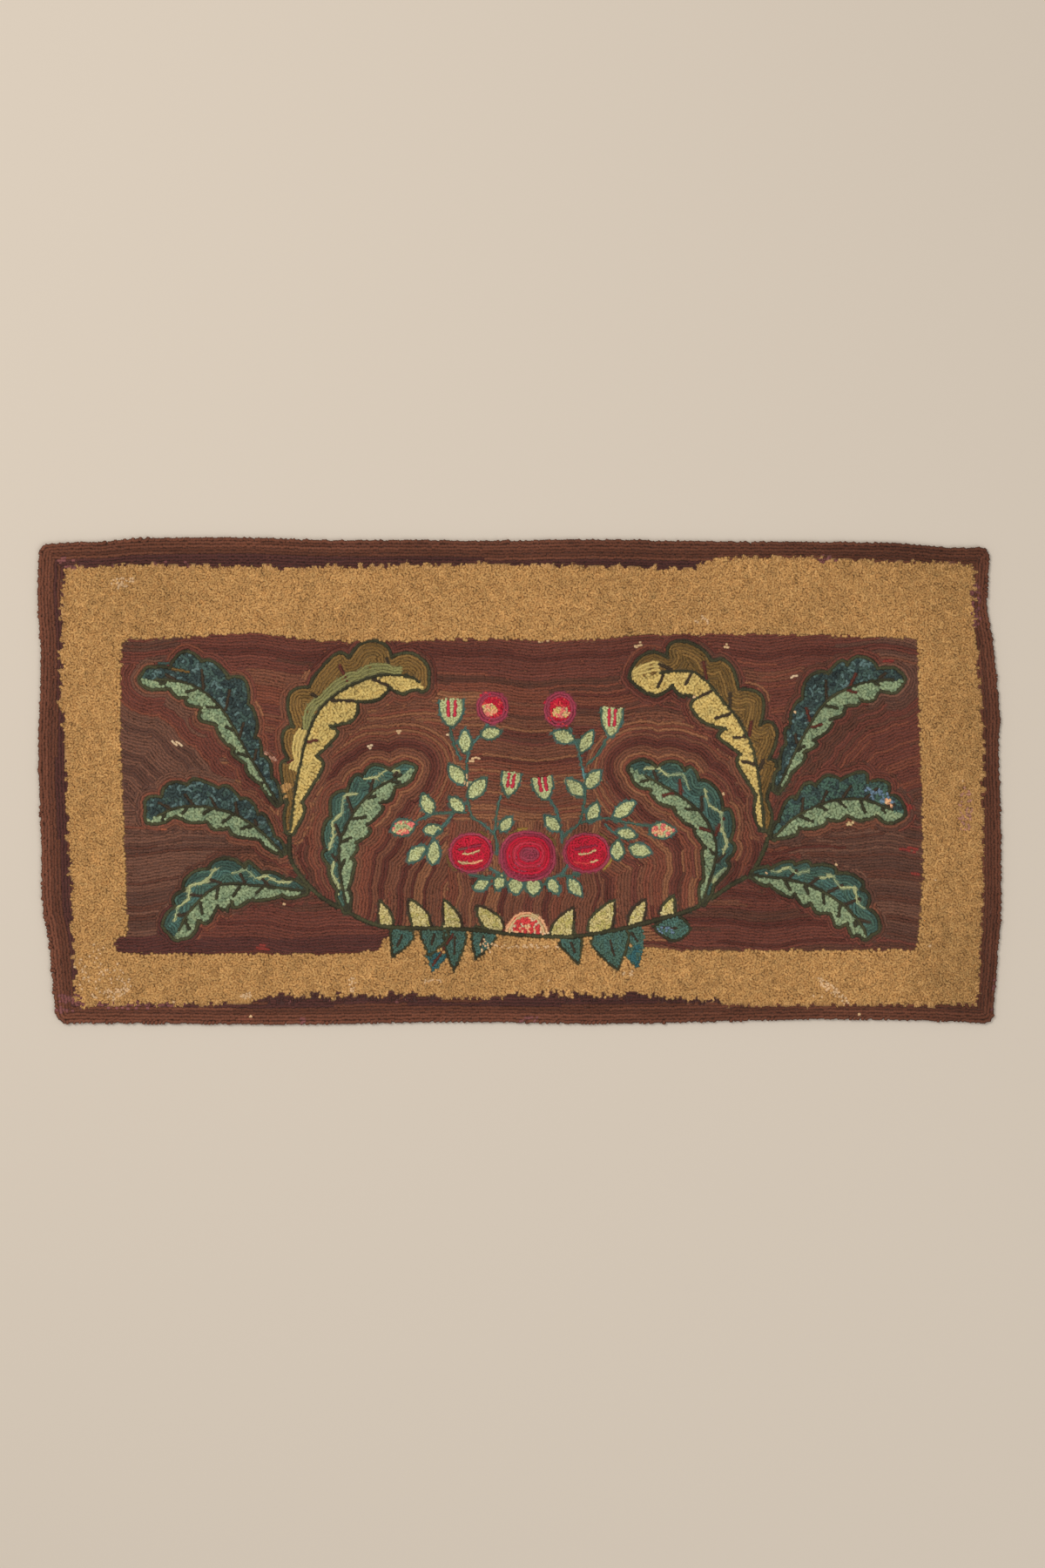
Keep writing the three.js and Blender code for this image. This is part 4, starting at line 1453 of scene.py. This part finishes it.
def giveColour(mesh, colours):
    full = np.concatenate((colours, np.ones((len(colours), 1))), 1)
    mesh.attributes.new("dye", "FLOAT_COLOR", "POINT").data.foreach_set("color", full.ravel())


def newPiece(name, mesh):
    piece = bpy.data.objects.new(name, mesh)
    bpy.context.scene.collection.objects.link(piece)
    return piece


def makePile(name, chosen, tree, loopShape):
    # a plan of points with a turn, a size and a dye each, hooked by the tree and turned into a plain mesh
    points = bpy.data.meshes.new(name + "_plan")
    where = np.concatenate((place[chosen], np.zeros((chosen.sum(), 1))), 1) * mm
    points.vertices.add(len(where))
    points.vertices.foreach_set("co", where.ravel())
    points.attributes.new("turn", "FLOAT", "POINT").data.foreach_set("value", turns[chosen])
    size = points.attributes.new("size", "FLOAT_VECTOR", "POINT")
    size.data.foreach_set("vector", (sizes[chosen] * (1, 1, mm)).ravel())
    giveColour(points, tint[chosen])
    plan = newPiece(name + "_plan", points)
    hooker = plan.modifiers.new("hooking", "NODES")
    hooker.node_group = tree
    settings = {
        "Loop": loopShape,
        "Loop length": hooking["loopLength"] * mm,
        "Loop width": hooking["loopWidth"] * mm,
        "Lean": hooking["lean"],
        "Wool": woolMaterial,
    }
    for item in tree.interface.items_tree:
        if item.in_out == "INPUT" and item.name in settings:
            hooker[item.identifier] = settings[item.name]
    evaluated = plan.evaluated_get(bpy.context.evaluated_depsgraph_get())
    mesh = bpy.data.meshes.new_from_object(evaluated)
    mesh.name = name
    bpy.data.objects.remove(plan)
    for attribute in ("turn", "size"):
        mesh.attributes.remove(mesh.attributes[attribute])
    planarMap(mesh)
    mesh.calc_loop_triangles()
    print(name, "loops", int(chosen.sum()), "triangles", len(mesh.loop_triangles))
    return newPiece(name, mesh)


pileTree = makePileTree()
loopShape = makeLoopShape()
bpy.context.scene.collection.objects.link(loopShape)
pieces = []
for name in ("pile_rim", "pile_leaves", "pile_flowers"):
    pieces.append(makePile(name, pieceOf == name, pileTree, loopShape))
# the frame and the ground have a piece for the far half and one for the near half, to stay small enough
far = place[:, 1] > -20
for name in ("pile_frame", "pile_ground"):
    pieces.append(makePile(name + "_far", (pieceOf == name) & far, pileTree, loopShape))
    pieces.append(makePile(name + "_near", (pieceOf == name) & ~far, pileTree, loopShape))
bpy.data.objects.remove(loopShape)


# Foundation cloth: one closed sheet with its turned edge, tinted by the wool that is drawn through it and
# darkened between the loops by painted shade

# In millimetres. around and rings say how fine its top is, and every rowsUnder'th ring is used underneath.
# The two gap shares are painted shade: how much of the wool's dye the cloth keeps between the loops of the
# frame, and between those of the rest
cloth = {
    "inset": 2.4,
    "around": 800,
    "rings": 76,
    "innermost": 0.985,
    "rowsUnder": 9,
    "roundness": 1.6,
    "edgeHeight": 4.4,
    "frameGapShade": 0.92,
    "rowGapShade": 0.66,
    "loopsFelt": 7,
}


def makeFoundation():
    rim = np.array(evenSteps(edgeLine, lengthsAlong(edgeLine)[-1] / cloth["around"], closed=True))[:, :2]
    count = len(rim)
    thick, soft = cloth["edgeHeight"], cloth["roundness"]
    insets = np.linspace(halfWidth * cloth["innermost"], cloth["inset"] + soft, cloth["rings"])

    def ringIn(inset):
        return rim * (1 - inset / halfLength, 1 - inset / halfWidth)

    under = insets[:: cloth["rowsUnder"]]
    levels = [(ringIn(inset), 0.0) for inset in under]
    levels += [(ringIn(cloth["inset"]), soft), (ringIn(cloth["inset"]), thick - soft)]
    levels += [(ringIn(inset), thick) for inset in insets[::-1]]
    corners = []
    for ring, height in levels:
        corners += [(x, y, height) for x, y in ring.tolist()]
    faces = []
    for level in range(len(levels) - 1):
        low, high = level * count, (level + 1) * count
        faces += [(low + k, low + (k + 1) % count, high + (k + 1) % count, high + k) for k in range(count)]
    # the innermost ring is long and narrow, so short faces close it from one long side to the other
    last = (len(levels) - 1) * count
    for k in range(count // 2 - 1):
        faces.append((count - 1 - k, count - 2 - k, k + 1, k))
        faces.append((last + k, last + k + 1, last + count - 2 - k, last + count - 1 - k))
    mesh = bpy.data.meshes.new("foundation_cloth")
    mesh.from_pydata((np.array(corners) * mm).tolist(), [], faces)
    mesh.polygons.foreach_set("use_smooth", [True] * len(faces))

    # the top rises to a share of the lowest loop near it, and takes the wool's dye without its wear, darkened
    # by painted shade
    tree = kdtree.KDTree(len(place))
    for i, (x, y) in enumerate(place.tolist()):
        tree.insert((x, y, 0), i)
    tree.balance()
    felt = [[i for _, i, _ in tree.find_n((x, y, 0), cloth["loopsFelt"])] for x, y, _ in corners]
    nearest = [found[0] for found in felt]
    lowest = np.array([sizes[found, 2].min() for found in felt])
    spots = np.array(corners)
    top = np.arange(len(corners)) >= (len(under) + 3) * count  # the ring inside the edge stays low
    spots[top, 2] = np.maximum(lowest[top] * hooking["packed"], thick)
    mesh.vertices.foreach_set("co", (spots * mm).ravel())
    # painted shade: the cloth between the loops is drawn darker than the wool, most of all among the rows
    gapShade = np.where(pieceOf[nearest] == "pile_frame", cloth["frameGapShade"], cloth["rowGapShade"])[:, None]
    giveColour(mesh, linear([dyes[name] for name in dyeNames])[unworn[nearest]] * dyeGain * gapShade)
    planarMap(mesh)
    return newPiece("foundation_cloth", mesh)


juteLook = {
    "dark": (0.16, 0.1, 0.05, 1),
    "pale": (0.42, 0.3, 0.17, 1),
    "threads": 160.0,
    "uneven": 1.2,
    "relief": 0.4,
    "reliefHeight": 0.0006,
    "roughness": 0.95,
    "juteUnder": 0.45,
    "fadesBetween": (0.0004, 0.003),
}


def foundationFinish():
    # the wool's own dye above, and coarse jute with the wool's flat stitches in it underneath
    finish = Finish("hooked_foundation")
    where = finish.add("ShaderNodeTexCoord", output=3)
    warp, weft = (finish.add("ShaderNodeTexWave", {"bands_direction": way}, Vector=where,
                             Scale=juteLook["threads"], Distortion=juteLook["uneven"]) for way in "XY")
    threads = warp * 0.5 + weft * 0.5
    jute = finish.mixed("MIX", threads, juteLook["dark"], juteLook["pale"])
    height = finish.add("ShaderNodeSeparateXYZ", output=2, Vector=where)
    low, high = juteLook["fadesBetween"]
    under = finish.add("ShaderNodeMapRange", {"clamp": True}, Value=height, From_Min=low, From_Max=high,
                       To_Min=juteLook["juteUnder"], To_Max=0.0)
    relief = finish.add("ShaderNodeBump", Strength=juteLook["relief"], Distance=juteLook["reliefHeight"],
                        Height=threads)
    colour = finish.mixed("MIX", under, finish.read("dye"), jute)
    finish.set(Base_Color=colour, Normal=relief, Roughness=juteLook["roughness"])
    return finish.material


foundation = makeFoundation()
foundation.data.materials.append(foundationFinish())
print("foundation cloth")

for piece in pieces:
    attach(piece, "root")
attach(foundation, "root")
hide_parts(rugNode)
low, high = cadBox

bpy.context.view_layer.update()
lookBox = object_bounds()
sizes = {"cad": [list(corner) for corner in cadBox], "look": [list(corner) for corner in lookBox]}
print("sizes", sizes)
